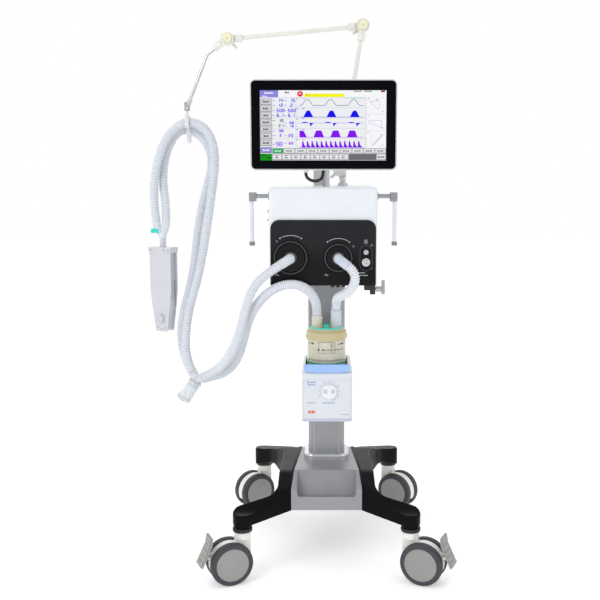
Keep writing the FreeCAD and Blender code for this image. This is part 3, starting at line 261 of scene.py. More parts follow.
FINISHES = {
    "base_frame": STEEL_GREY, "base_center_cover": BASE_SILVER, "leg_cover_left": LEG_BLACK,
    "leg_cover_right": LEG_BLACK, "column": EXTRUSION, "column_foot_collar": POLISHED,
    "humidifier_body": HEATER_GREY, "humidifier_dial": DIAL_GREY, "humidifier_guard": GUARD_BLUE,
    "heater_plate": HOT_PLATE, "chamber_dome": CLEAR_DOME, "chamber_seals": SEALS,
    "main_casing": WHITE_PAINT, "rear_panel": REAR_PAINT, "front_panel": CHARCOAL_SHADED_BELOW,
    "breathing_ports": PORT_BLACK, "exp_lock_ring": PORT_BLACK, "insp_lock_ring": PORT_BLACK,
    "hose_connectors": CUFFS, "water_traps": TRAP_CLEAR, "y_piece": FITTING, "gas_nozzles": HOT_METAL,
    "gas_inlets": GAS_METAL, "power_switch": CLAMP_BLACK, "blower_housing": BLOWER_GREY,
    "blower_impeller": IMPELLER, "battery_pack": BATTERY, "control_board": BOARD,
    "side_rails": RAIL_STEEL, "rail_posts": POST_GLOSS, "dock_clamp": CLAMP_BLACK,
    "dock_knob": KNOB_STEEL, "top_mounts": MAST_SILVER, "monitor_neck": NECK_BEIGE,
    "monitor_shell": MONITOR_SILVER, "monitor_glass": BEZEL, "arm_base": ARM_IVORY,
    "arm_lower_link": ARM_IVORY, "arm_upper_link": ARM_IVORY, "arm_end_sleeve": ARM_IVORY,
    "arm_end_rod": HOT_METAL, "hose_hanger": CLIP_WHITE, "lung_plates": LUNG_WHITE,
    "lung_bellows": BELLOWS, "brake_pedal_left": PEDAL_GREY, "brake_pedal_right": PEDAL_GREY,
}
CORNERS = ("fl", "fr", "rl", "rr")
for corner in CORNERS:
    FINISHES["caster_%s_housing" % corner] = FENDER_WHITE
    FINISHES["caster_%s_wheels" % corner] = TYRE_GREY
for node, finish in FINISHES.items():
    thing = frame["nodes"][node]
    thing.data.materials.clear()
    thing.data.materials.append(finish)


# ---------------------------------------------------------------- mesh helpers
def piece(name, mesh_maker, body, slot, *materials, sharp=35):
    """Turns a bmesh into a named piece that rides on a CAD body, or on none."""
    mesh = bpy.data.meshes.new(name)
    bmesh.ops.recalc_face_normals(mesh_maker, faces=mesh_maker.faces)
    mesh_maker.to_mesh(mesh)
    mesh_maker.free()
    for finish in materials:
        mesh.materials.append(finish)
    for polygon in mesh.polygons:
        polygon.use_smooth = True
    mesh.set_sharp_from_angle(angle=math.radians(sharp))
    made = bpy.data.objects.new(name, mesh)
    bpy.context.scene.collection.objects.link(made)
    if body:
        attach(made, body)
    return made


def across(axis):
    """Two unit directions at right angles to the axis."""
    axis = Vector(axis).normalized()
    first = axis.cross(UP if abs(axis.z) < 0.9 else TO_RIGHT).normalized()
    return first, axis.cross(first)


def lathe(into, profile, centre, axis, index=0, steps=48):
    """Turns a closed outline of (radius, height) points round an axis."""
    axis = Vector(axis).normalized()
    first, second = across(axis)
    rings = []
    for radius, height in profile:
        base = Vector(centre) + axis * height
        if radius < 1e-6:
            rings.append([into.verts.new(base)])
            continue
        rings.append([
            into.verts.new(base + (first * math.cos(turn) + second * math.sin(turn)) * radius)
            for turn in (2 * math.pi * n / steps for n in range(steps))
        ])
    for lower, upper in zip(rings, rings[1:] + rings[:1]):
        if len(lower) == 1 and len(upper) == 1:
            continue
        for n in range(steps):
            following = (n + 1) % steps
            corners = [lower[n % len(lower)], lower[following % len(lower)],
                       upper[following % len(upper)], upper[n % len(upper)]]
            face = into.faces.new([v for k, v in enumerate(corners) if v not in corners[:k]])
            face.material_index = index


def disc(into, radius, thick, centre, axis, index=0, edge=0.0006, steps=40):
    """A disc with a softened rim that rises from its centre along the axis."""
    lathe(into, [(0, 0), (radius, 0), (radius, thick - edge), (radius - edge, thick), (0, thick)],
          centre, axis, index, steps)


def block(into, low, high, index=0):
    """A closed block between two corners."""
    low, high = Vector(low), Vector(high)
    made = bmesh.ops.create_cube(into, size=1)["verts"]
    for vert in made:
        vert.co = Vector([a + (b - a) * (c + 0.5) for a, b, c in zip(low, high, vert.co)])
    for face in {f for v in made for f in v.link_faces}:
        face.material_index = index


def slab(into, outline, low, high, index=0):
    """A closed plate whose outline (x, z) is drawn seen from the front, between two depths y."""
    near = [into.verts.new((x, low, z)) for x, z in outline]
    far = [into.verts.new((x, high, z)) for x, z in outline]
    faces = [into.faces.new(near), into.faces.new(far[::-1])]
    for n in range(len(near)):
        after = (n + 1) % len(near)
        faces.append(into.faces.new([near[n], far[n], far[after], near[after]]))
    for face in faces:
        face.material_index = index


def arc(x, z, radius, start, end, steps=12):
    """Points of a round stretch, seen from the front, from one angle to another in degrees."""
    turns = [math.radians(start + (end - start) * n / steps) for n in range(steps + 1)]
    return [(x + radius * math.cos(t), z + radius * math.sin(t)) for t in turns]


def ribbon(points, width):
    """The outline of a line of even width through points (x, z)."""
    left, right = [], []
    for n, (x, z) in enumerate(points):
        x0, z0 = points[max(n - 1, 0)]
        x1, z1 = points[min(n + 1, len(points) - 1)]
        reach = math.hypot(x1 - x0, z1 - z0) or 1
        off_x, off_z = -(z1 - z0) / reach * width / 2, (x1 - x0) / reach * width / 2
        left.append((x + off_x, z + off_z))
        right.append((x - off_x, z - off_z))
    return left + right[::-1]


def line(into, points, width, low, high, index=0):
    """A raised line of short closed plates through points (x, z)."""
    for before, after in zip(points, points[1:]):
        slab(into, ribbon([before, after], width), low, high, index)


# ---------------------------------------------------------------- hoses and cable
HOSE_ROUTES = {
    "exp_hose_lower": [
        (-0.1223, -0.196, 0.8356), (-0.158, -0.196, 0.8134), (-0.193, -0.197, 0.78), (-0.214, -0.192, 0.727),
        (-0.231, -0.178, 0.655), (-0.262, -0.146, 0.585), (-0.3058, -0.0968, 0.5283), (-0.3439, -0.0811, 0.5104),
    ],
    "insp_hose_lower": [
        (-0.026, -0.12, 0.69), (-0.026, -0.12, 0.716), (-0.036, -0.148, 0.748), (-0.057, -0.18, 0.774),
        (-0.088, -0.192, 0.785), (-0.121, -0.192, 0.781), (-0.157, -0.186, 0.761), (-0.191, -0.17, 0.723),
        (-0.214, -0.146, 0.676), (-0.228, -0.122, 0.62), (-0.248, -0.1, 0.561), (-0.282, -0.074, 0.52),
        (-0.3241, -0.0479, 0.5019), (-0.3483, -0.0399, 0.4939),
    ],
    "exp_hose_upper": [
        (-0.3777, -0.0681, 0.5229), (-0.3966, -0.0618, 0.5599), (-0.397, -0.05, 0.629), (-0.388, -0.038, 0.696),
        (-0.368, -0.028, 0.763), (-0.351, -0.02, 0.837), (-0.338, -0.014, 0.916), (-0.324, -0.008, 1.008),
        (-0.313, -0.003, 1.084), (-0.313, 0.002, 1.139), (-0.327, 0.005, 1.184), (-0.352, 0.007, 1.21),
        (-0.388, 0.008, 1.219), (-0.423, 0.009, 1.203), (-0.455, 0.009, 1.165), (-0.477, 0.008, 1.106),
        (-0.489, 0.012, 1.041), (-0.49, 0.021, 0.976), (-0.486, 0.022, 0.94),
    ],
    "insp_hose_upper": [
        (-0.385, -0.0289, 0.5084), (-0.4064, -0.0237, 0.5452), (-0.42, -0.01, 0.605), (-0.414, 0, 0.67),
        (-0.394, 0.008, 0.742), (-0.378, 0.014, 0.816), (-0.372, 0.02, 0.885), (-0.357, 0.026, 0.978),
        (-0.338, 0.032, 1.044), (-0.325, 0.036, 1.098), (-0.331, 0.038, 1.143), (-0.356, 0.038, 1.18),
        (-0.391, 0.038, 1.2), (-0.422, 0.038, 1.191), (-0.449, 0.038, 1.151), (-0.463, 0.036, 1.098),
        (-0.466, 0.032, 1.044), (-0.457, 0.024, 0.988), (-0.458, 0.022, 0.945),
    ],
    "chamber_hose": [
        (0.056, -0.196, 0.833), (0.071, -0.196, 0.8214), (0.077, -0.195, 0.796), (0.068, -0.184, 0.771),
        (0.049, -0.16, 0.752), (0.03, -0.134, 0.742), (0.026, -0.12, 0.725), (0.026, -0.12, 0.705),
    ],
}
CABLE_ROUTE = [
    (-0.055, -0.14, 1.077), (-0.055, -0.14, 1.069), (-0.048, -0.139, 1.059), (-0.031, -0.131, 1.0535),
    (-0.015, -0.117, 1.058), (-0.009, -0.106, 1.071), (-0.009, -0.098, 1.087), (-0.009, -0.091, 1.098),
    (-0.009, -0.0804, 1.102),
]
HOSE_WIDE = 0.026
HOSE_INSIDE = 0.0105
RIB_PITCH = 0.0044
CHAMBER_RIB_PITCH = 0.0062
CABLE_WIDE = 0.0084


def smooth_line(points):
    """The route as one smooth NURBS line, read back as close points."""
    curve = bpy.data.curves.new("Line", "CURVE")
    curve.dimensions = "3D"
    curve.resolution_u = 24
    spline = curve.splines.new("NURBS")
    spline.points.add(len(points) - 1)
    for target, point in zip(spline.points, points):
        target.co = (*point, 1)
    spline.order_u = 3
    spline.use_endpoint_u = True
    holder = bpy.data.objects.new("Line", curve)
    bpy.context.scene.collection.objects.link(holder)
    bpy.context.view_layer.update()
    flat = bpy.data.meshes.new_from_object(holder)
    found = [v.co.copy() for v in flat.vertices]
    bpy.data.objects.remove(holder)
    return found


def even(points, step):
    """The line walked at an even step, with its last point kept."""
    found, left = [points[0]], step
    for before, after in zip(points, points[1:]):
        reach = (after - before).length
        while reach > left:
            before = before + (after - before) * (left / reach)
            reach -= left
            found.append(before)
            left = step
        left -= reach
    return found[:-1] + [points[-1]] if left > step / 2 else found + [points[-1]]


def loft(into, rows, index=0):
    """A closed skin through rows of points. Its sides take the stated finish."""
    rings = [[into.verts.new(point) for point in row] for row in rows]
    count = len(rings[0])
    for lower, upper in zip(rings, rings[1:]):
        for n in range(count):
            after = (n + 1) % count
            face = into.faces.new([lower[n], lower[after], upper[after], upper[n]])
            face.material_index = index
    into.faces.new(rings[0][::-1])
    into.faces.new(rings[-1])


def tube(name, line_points, radii, body, slot, finish, steps=28):
    """A closed tube whose radius is given for each point of its line."""
    made = bmesh.new()
    ways = [(b - a).normalized() for a, b in zip(line_points, line_points[1:])]
    ways.append(ways[-1])
    side = across(ways[0])[0]
    rows = []
    for point, way, radius in zip(line_points, ways, radii):
        side = (side - way * side.dot(way)).normalized()
        other = way.cross(side)
        rows.append([point + (side * math.cos(turn) + other * math.sin(turn)) * radius
                     for turn in (2 * math.pi * n / steps for n in range(steps))])
    loft(made, rows)
    return piece(name, made, body, slot, finish, sharp=80)


def hose_finish():
    """Milky ribbed plastic: each rib is pale on its crest and darker in its groove, the darker groove being
    painted shade.
    """
    made = material("HoseRibsGrooveShaded", tone(236, 239, 244), rough=0.3, mottle=0.02, grain=0.05,
                    Transmission_Weight=0.06, IOR=1.2)
    rib = add(made, "Attribute")
    rib.attribute_name = "rib"
    # Painted shade: the groove colour darkens the hose where the ribs dip in.
    repaint(made, rib.outputs["Fac"], tone(211, 217, 227), "B")
    return made


HOSE_GROOVE_SHADED = hose_finish()
RINGS_PER_RIB = 6
TUBE_SIDES = 28


def ribbed_hose(name, line_points, body, pitch=RIB_PITCH):
    """A stretch of corrugated hose along close points."""
    length = sum((b - a).length for a, b in zip(line_points, line_points[1:]))
    ribs = max(1, round(length / pitch))
    walk = even(line_points, length / ribs / RINGS_PER_RIB)
    swell = [0.5 - 0.5 * math.cos(2 * math.pi * n / RINGS_PER_RIB) for n in range(len(walk))]
    swell[-1] = 0
    shape = [s ** 0.7 for s in swell]
    radii = [HOSE_INSIDE + (HOSE_WIDE / 2 - HOSE_INSIDE) * s for s in shape]
    made = tube(name, walk, radii, body, "hose_clear", HOSE_GROOVE_SHADED, TUBE_SIDES)
    crest = made.data.attributes.new("rib", "FLOAT", "POINT")
    crest.data.foreach_set("value", [s for s in shape for _ in range(TUBE_SIDES)])
    return made


def lengths(points):
    """How far along the line each of its points lies."""
    total, found = 0, [0]
    for before, after in zip(points, points[1:]):
        total += (after - before).length
        found.append(total)
    return found


def cut_line(points, start, end):
    """The stretch of a line between two lengths along it."""
    along = lengths(points)

    def at(goal):
        for n in range(len(points) - 1):
            if along[n] <= goal <= along[n + 1]:
                part = (goal - along[n]) / max(along[n + 1] - along[n], 1e-9)
                return points[n].lerp(points[n + 1], part)
        return points[-1].copy()

    inner = [p for p, s in zip(points, along) if start + 1e-5 < s < end - 1e-5]
    return [at(start), *inner, at(end)]


def hoses():
    """The lower limbs and the chamber hose as ribbed hoses, and the upper limbs each cut in five ribbed parts,
    the last riding on the hose hanger.
    """
    for name in ("exp_hose_lower", "insp_hose_lower"):
        points = smooth_line(HOSE_ROUTES[name])
        made = ribbed_hose(name + "_ribs", points, None)
        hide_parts(name)
        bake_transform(made)
    made = ribbed_hose("chamber_hose_ribs", smooth_line(HOSE_ROUTES["chamber_hose"]), "trolley",
                       CHAMBER_RIB_PITCH)
    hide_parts("chamber_hose")
    chain = ["arm base", "lower arm", "upper arm", "arm end", "hose hanger"]
    for name in ("exp_hose_upper", "insp_hose_upper"):
        points = smooth_line(HOSE_ROUTES[name])
        along = lengths(points)
        over_hanger = max(zip(points, along), key=lambda found: found[0].z)[1]
        ribs = round(over_hanger / 4 / RIB_PITCH)
        marks = [ribs * RIB_PITCH * n for n in range(5)] + [along[-1]]
        for n in range(5):
            part = cut_line(points, marks[n], marks[n + 1])
            body = None if n < 4 else chain[-1]
            made = ribbed_hose("%s_part_%d" % (name, n + 1), part, body)
            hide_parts(name)
            if n < 4:
                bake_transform(made)


def monitor_cable():
    """The short black cable that loops from under the monitor to its neck."""
    points = smooth_line(CABLE_ROUTE)
    walk = even(points, 0.0015)
    made = tube("monitor_cable_skin", walk, [CABLE_WIDE / 2] * len(walk), None, "cable_black", CABLE, 20)
    lengths(walk)[-1]
    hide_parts("monitor_cable")
    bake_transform(made)


hoses()
monitor_cable()


# ---------------------------------------------------------------- screen
def screen():
    """The lit display: buttons, numbers, waveforms, loops and tabs, all generic, as thin raised patches."""
    colours = {
        "paper": (241, 241, 246), "bar": (250, 250, 252), "lavender": (140, 138, 222), "grey": (212, 212, 216),
        "light": (232, 232, 235), "edge": (128, 128, 134), "green": (22, 186, 92), "deep_green": (12, 150, 20),
        "dark": (112, 112, 116), "blue": (10, 10, 236), "violet": (128, 12, 240), "teal": (58, 128, 150),
        "cyan": (96, 214, 222), "yellow": (250, 246, 20), "red": (232, 40, 44), "ink": (34, 34, 42),
        "leaf": (20, 128, 40), "lilac": (150, 140, 226), "rule": (196, 196, 206),
    }
    order = {name: n for n, name in enumerate(colours)}
    finishes = [lit("Screen" + name.title().replace("_", ""), tone(*rgb)) for name, rgb in colours.items()]
    low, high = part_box("monitor_glass")
    left, right = low.x + 0.023, high.x - 0.025
    bottom, top = low.z + 0.022, high.z - 0.025
    wide, tall = right - left, top - bottom
    face = low.y
    step = 0.00012
    made = bmesh.new()

    def spot(x, z):
        """A place from fractions of the display, measured from its upper left corner."""
        return left + x * wide, top - z * tall

    def patch(x0, z0, x1, z1, colour, layer=1):
        outline = [spot(x0, z1), spot(x1, z1), spot(x1, z0), spot(x0, z0)]
        slab(made, outline, face - step * (layer + 1), face - step * (layer - 1) - 0.00002, order[colour])

    def shape(points, colour, layer=3):
        slab(made, [spot(*point) for point in points], face - step * (layer + 1), face - step * layer,
             order[colour])

    def trace_line(points, width, colour, layer=3):
        line(made, [spot(*point) for point in points], width, face - step * (layer + 1), face - step * layer,
             order[colour])

    def key(x0, z0, x1, z1, colour="light", layer=2):
        patch(x0, z0, x1, z1, "edge", layer)
        patch(x0 + 0.003, z0 + 0.006, x1 - 0.003, z1 - 0.010, colour, layer + 1)

    def words(x, z, long, tall_part=0.022, colour="ink", layer=4):
        """A line of tiny letter-like strokes."""
        signs = max(2, round(long / 0.011))
        for n in range(signs):
            x0 = x - long / 2 + n * long / signs
            rise = tall_part * (1, 0.72, 0.86, 0.72)[n % 4]
            patch(x0, z + tall_part / 2 - rise, x0 + long / signs * 0.72, z + tall_part / 2, colour, layer)

    patch(0, 0, 1, 1, "paper", 0)
    patch(0, 0, 1, 0.098, "bar")
    patch(0, 0, 0.145, 0.098, "lavender", 2)
    for caption in ((0.072, 0.036, 0.07, 0.03, "bar"), (0.04, 0.083, 0.04, 0.016, "bar"),
                    (0.215, 0.03, 0.035, 0.026), (0.775, 0.014, 0.058, 0.02, "dark"),
                    (0.855, 0.014, 0.058, 0.02, "dark")):
        words(*caption)
    patch(0.957, 0.002, 0.988, 0.026, "ink", 3)
    patch(0.966, 0.006, 0.979, 0.02, "red", 5)
    badge = [(0.318 + 0.023 * math.cos(t), 0.05 + 0.041 * math.sin(t))
             for t in (math.pi * n / 12 for n in range(24))]
    shape(badge, "red", 3)
    trace_line([(0.307, 0.06), (0.318, 0.032), (0.329, 0.06)], 0.0011, "bar", 5)
    trace_line([(0.309, 0.047), (0.327, 0.047)], 0.0011, "bar", 5)
    pill = []
    for x, start in ((0.658, -90), (0.362, 90)):
        pill += [(x + 0.012 * math.cos(math.radians(t)), 0.071 + 0.024 * math.sin(math.radians(t)))
                 for t in range(start, start + 181, 30)]
    shape(pill, "yellow", 3)
    for x, colour in ((0.364, "red"), (0.372, "leaf"), (0.390, "red"), (0.432, "red")):
        patch(x, 0.06, x + 0.006, 0.072, colour, 5)

    for n in range(7):
        middle = 0.161 + 0.098 * n
        key(0.002, middle - 0.045, 0.092, middle + 0.045, "grey")
        words(0.047, middle - 0.002, 0.05 - 0.006 * (n % 3), 0.028)
    key(0.002, 0.81, 0.092, 0.895, "lavender")
    words(0.047, 0.85, 0.056, 0.028, "bar")
    patch(0, 0.903, 0.094, 1, "deep_green", 2)
    words(0.03, 0.925, 0.03, 0.024, "ink")
    words(0.068, 0.962, 0.032, 0.024, "ink")

    for z in (0.10, 0.245, 0.388, 0.537, 0.686, 0.822):
        patch(0.094, z, 0.836, z + 0.004, "rule", 1)
    for x in (0.0935, 0.283, 0.834):
        patch(x, 0.10, x + 0.003, 0.82, "rule", 1)

    def digits(text, x, z, high_part, colour):
        """Numbers drawn with seven bars each."""
        bars = {"0": "abcdef", "1": "bc", "2": "abged", "3": "abgcd", "4": "fgbc", "5": "afgcd",
                "6": "afgedc", "7": "abc", "8": "abcdefg", "9": "abcdfg"}
        places = {"a": (0, 0, 1, 0), "b": (1, 0, 1, 1), "c": (1, 1, 1, 2), "d": (0, 2, 1, 2),
                  "e": (0, 1, 0, 2), "f": (0, 0, 0, 1), "g": (0, 1, 1, 1)}
        sign_wide, half_high, bar_wide, gap = high_part * 0.33, high_part / 2, 0.0017, 0.010
        for sign in text:
            if sign == ".":
                patch(x, z + high_part * 0.86, x + 0.005, z + high_part, colour, 4)
                x += gap
                continue
            for bar in bars[sign]:
                x0, z0, x1, z1 = places[bar]
                trace_line([(x + sign_wide * x0, z + half_high * z0), (x + sign_wide * x1, z + half_high * z1)],
                           bar_wide, colour, 3 + ("abcdefg".index(bar) % 2))
            x += sign_wide + gap

    readings = [
        ("14", 0.143, 0.122, 0.040, "blue"), ("15", 0.238, 0.122, 0.040, "blue"),
        ("12", 0.143, 0.190, 0.040, "blue"), ("2", 0.243, 0.190, 0.040, "blue"),
        ("500", 0.133, 0.268, 0.038, "blue"), ("500", 0.223, 0.268, 0.038, "blue"),
        ("6.1", 0.136, 0.334, 0.040, "blue"), ("6.1", 0.226, 0.334, 0.040, "blue"),
        ("10", 0.149, 0.412, 0.034, "ink"), ("21", 0.149, 0.482, 0.036, "leaf"),
        ("08", 0.236, 0.447, 0.028, "blue"), ("10", 0.236, 0.495, 0.026, "blue"),
        ("38", 0.149, 0.556, 0.036, "violet"), ("2", 0.156, 0.624, 0.036, "violet"),
        ("20", 0.226, 0.624, 0.036, "violet"), ("98", 0.126, 0.738, 0.056, "violet"),
        ("60", 0.230, 0.738, 0.030, "violet"),
    ]
    for text, x, z, high_part, colour in readings:
        digits(text, x, z, high_part, colour)
        unit_x, unit_long = (0.112, 0.022) if x < 0.2 else (0.203, 0.020)
        words(unit_x, z + high_part * 0.55, unit_long, 0.010, colour)

    start, end = 0.312, 0.818
    beat = (end - start) / 2.75

    def hump(x, width, base, peak, flat=0.3):
        """The outline of one breath, from its foot up and back."""
        rise = width * (1 - flat) / 2
        points = []
        for n in range(9):
            points.append((x + rise * n / 8, base - (base - peak) * (0.5 - 0.5 * math.cos(math.pi * n / 8))))
        for n in range(9):
            points.append((x + width - rise + rise * n / 8,
                           peak + (base - peak) * (0.5 - 0.5 * math.cos(math.pi * n / 8))))
        return points

    trace = []
    for n in range(3):
        trace += [(start + n * beat, 0.214)] + hump(start + 0.012 + n * beat, 0.100, 0.214, 0.130, 0.10)
    trace_line(trace + [(end, 0.214)], 0.0014, "teal", 3)
    patch(0.670, 0.106, 0.828, 0.112, "cyan", 3)
    for n in range(3):
        shape(hump(start + 0.024 + n * beat, 0.092, 0.382, 0.286, 0.14), "blue", 3)
    patch(start, 0.377, end, 0.382, "blue", 2)
    patch(start, 0.461, end, 0.465, "blue", 2)
    for n in range(3):
        x = start + 0.024 + n * beat
        patch(x, 0.449, x + 0.038, 0.463, "blue", 3)
        shape([(x + 0.056, 0.466), (x + 0.090, 0.466), (x + 0.074, 0.488), (x + 0.064, 0.517)][::-1], "blue", 4)
    falling = ((0, 0.670), (0, 0.573), (0.032, 0.573), (0.046, 0.62), (0.060, 0.670))
    shape([(start + x, z) for x, z in falling], "violet", 3)
    for x in (0.418, 0.552, 0.684):
        shape(hump(x, 0.094, 0.670, 0.570, 0.36), "violet", 3)
    patch(start, 0.665, end, 0.670, "violet", 2)
    pulse = ((0, 0.815), (0.004, 0.722), (0.012, 0.722), (0.020, 0.775), (0.032, 0.80), (0.036, 0.815))
    for n in range(14):
        x = start + 0.018 + n * 0.0370
        if x < end - 0.02:
            shape([(x + across_x, z) for across_x, z in pulse], "violet", 3)
    patch(start, 0.808, end, 0.816, "violet", 2)
    for z, colour in ((0.118, "lilac"), (0.262, "blue"), (0.405, "blue"), (0.556, "violet"), (0.703, "violet")):
        words(0.298, z, 0.018, 0.012, colour)
        words(0.345, z - 0.004, 0.022, 0.010, colour)
    for z in (0.222, 0.368, 0.462, 0.512, 0.66, 0.80):
        words(0.298, z, 0.010, 0.010, "lilac")

    for z0, z1 in ((0.105, 0.325), (0.345, 0.565), (0.585, 0.815)):
        patch(0.842, z0, 0.996, z1, "bar", 2)
        patch(0.848, z0, 0.849, z1, "rule", 3)
        words(0.862, z0 + 0.012, 0.016, 0.010, "dark")
        words(0.972, z1 - 0.03, 0.016, 0.010, "dark")
    trace_line([(0.866, 0.155), (0.930, 0.155), (0.944, 0.168), (0.944, 0.252), (0.928, 0.262), (0.866, 0.155)],
           0.0008, "lilac", 4)
    words(0.93, 0.132, 0.022, 0.014, "dark")
    trace_line([(0.866, 0.425), (0.962, 0.425), (0.964, 0.534), (0.866, 0.457), (0.866, 0.425)],
               0.0008, "lilac", 4)
    trace_line([(0.893, 0.778), (0.966, 0.625), (0.976, 0.632), (0.900, 0.778)], 0.0009, "lilac", 4)
    trace_line([(0.886, 0.62), (0.886, 0.79)], 0.0005, "rule", 4)

    for n in range(10):
        x = 0.096 + 0.0906 * n
        key(x, 0.826, x + 0.0886, 0.900, "green" if n == 0 else "light")
        words(x + 0.044, 0.862, 0.05, 0.020, "bar" if n == 0 else "ink")
    for n in range(8):
        x = 0.096 + 0.0755 * n
        key(x, 0.905, x + 0.0745, 0.996)
        words(x + 0.037, 0.93, 0.028, 0.014, "dark")
        words(x + 0.037, 0.958, 0.024, 0.020, "ink")
    patch(0.702, 0.905, 0.924, 0.996, "dark", 2)
    key(0.926, 0.905, 0.998, 0.996)
    words(0.962, 0.95, 0.05, 0.024, "ink")
    piece("screen_display", made, "monitor", "monitor_black", *finishes)


screen()


# ---------------------------------------------------------------- trolley base
def wheels():
    """Hub covers, tread lines and axle caps of the twin wheels, and the seal round each swivel."""
    side_names = {"fl": "front left", "fr": "front right", "rl": "rear left", "rr": "rear right"}
    hub_face, seal_height = 0.0317, 0.1368
    cover = [(0, -0.0020), (0.0440, -0.0020), (0.0440, 0.0006), (0.0432, 0.0016), (0.0405, 0.0020),
             (0.0395, 0.0012), (0, 0.0016)]
    tread = [(0.0448, -0.001), (0.0462, -0.001), (0.0462, 0.0010), (0.0448, 0.0010)]
    collar = [(0.0185, 0), (0.0252, 0), (0.0262, 0.0015), (0.0262, 0.0085), (0.0245, 0.0098), (0.0185, 0.0098)]
    for corner, words in side_names.items():
        hub = joint_place(words + " wheel spin")
        axis = Vector(JOINTS[words + " wheel spin"]["axis"]).normalized()
        made = bmesh.new()
        for way in (axis, -axis):
            for index, outline in enumerate((cover, tread)):
                lathe(made, outline, hub + way * hub_face, way, index)
        piece("hub_covers_" + corner, made, words + " wheels", "caster_housing", HUB_GREY, PEDAL_DARK)
        socket = joint_place(words + " swivel")
        socket.z = seal_height
        seal = bmesh.new()
        lathe(seal, collar, socket, UP)
        piece("swivel_seal_" + corner, seal, "trolley", "black_casting", RUBBER_DARK)


def pedals():
    """Broad ribs on the treading face of each brake pedal."""
    half_wide, gap, sunk = 0.0215, 0.0012, -0.0004
    for side in ("left", "right"):
        stem, hub = joint_place("front %s swivel" % side), joint_place("front %s wheel spin" % side)
        away = Vector((hub.x - stem.x, hub.y - stem.y, 0)).normalized()
        sideways = UP.cross(away)
        made = bmesh.new()
        for top, foot, ribs in (((0.057, 0.056), (0.083, 0.002), 4), ((0.054, 0.077), (0.057, 0.057), 2)):
            start = hub + away * top[0] + UP * top[1]
            end = hub + away * foot[0] + UP * foot[1]
            down = (end - start).normalized()
            out = (away - down * away.dot(down)).normalized()
            pitch = (end - start).length / ribs
            for n in range(ribs):
                low = start + down * (pitch * n + gap)
                high = start + down * (pitch * (n + 1) - gap)
                outline = [place + out * rise for place, rise in
                           ((low, sunk), (low, 0.0012), (high, 0.0022), (high, sunk))]
                loft(made, [[corner + sideways * wide for corner in outline]
                            for wide in (-half_wide, half_wide)])
        piece("pedal_ribs_" + side, made, side + " brake pedal", "pedal_grey", PEDAL_GREY)


wheels()
pedals()


# ---------------------------------------------------------------- marks, seams, caps and screws
PRINT_OUT, PRINT_IN = 0.0002, 0.0003
PORTS = {"exp": ("expiratory", -0.096, 0.045), "insp": ("inspiratory", 0.0315, 0.038)}
PORT_HEIGHT = 0.852
CHAMBER_CENTRE = Vector((0, -0.12, 0))


def tile(into, x0, z0, x1, z1, front, index=0):
    """A printed rectangle on a front face."""
    block(into, (x0, front - PRINT_OUT, z0), (x1, front + PRINT_IN, z1), index)


def stroke(into, points, width, front, index=0):
    """A printed line through points (x, z) of a front face."""
    line(into, points, width, front - PRINT_OUT, front + PRINT_IN, index)


def ring(into, x, z, radius, width, front, start=0, end=360, index=0):
    """A printed arc on a front face."""
    stroke(into, arc(x, z, radius, start, end, 24), width, front, index)


def dot(into, x, z, radius, front, index=0, steps=20):
    """A printed dot on a front face."""
    disc(into, radius, 0.0004, (x, front + 0.0002, z), TO_FRONT, index, 0.0001, steps)


def letters(into, x, z, long, tall_part, front, index=0):
    """A row of small strokes that reads as a line of print, centred on a place of a front face."""
    signs = max(2, round(long / (tall_part * 0.8)))
    for n in range(signs):
        start = x - long / 2 + n * long / signs
        rise = tall_part * (1, 0.7, 0.85, 0.7, 0.75)[n % 5]
        tile(into, start, z, start + long / signs * 0.66, z + rise, front, index)


def screw(into, centre, axis, radius=0.003, index=0):
    """A pan head with a dark socket."""
    axis = Vector(axis).normalized()
    centre = Vector(centre) - axis * 0.0004
    lathe(into, [(0, 0), (radius, 0), (radius, 0.0010), (radius * 0.8, 0.0017), (radius * 0.45, 0.0019),
                 (radius * 0.42, 0.0011), (0, 0.0011)], centre, axis, index, 20)


def padlock(into, x, z, front):
    """A small closed lock sign."""
    tile(into, x - 0.0017, z - 0.002, x + 0.0017, z + 0.0006, front)
    ring(into, x, z + 0.0006, 0.0012, 0.0006, front, 0, 180)


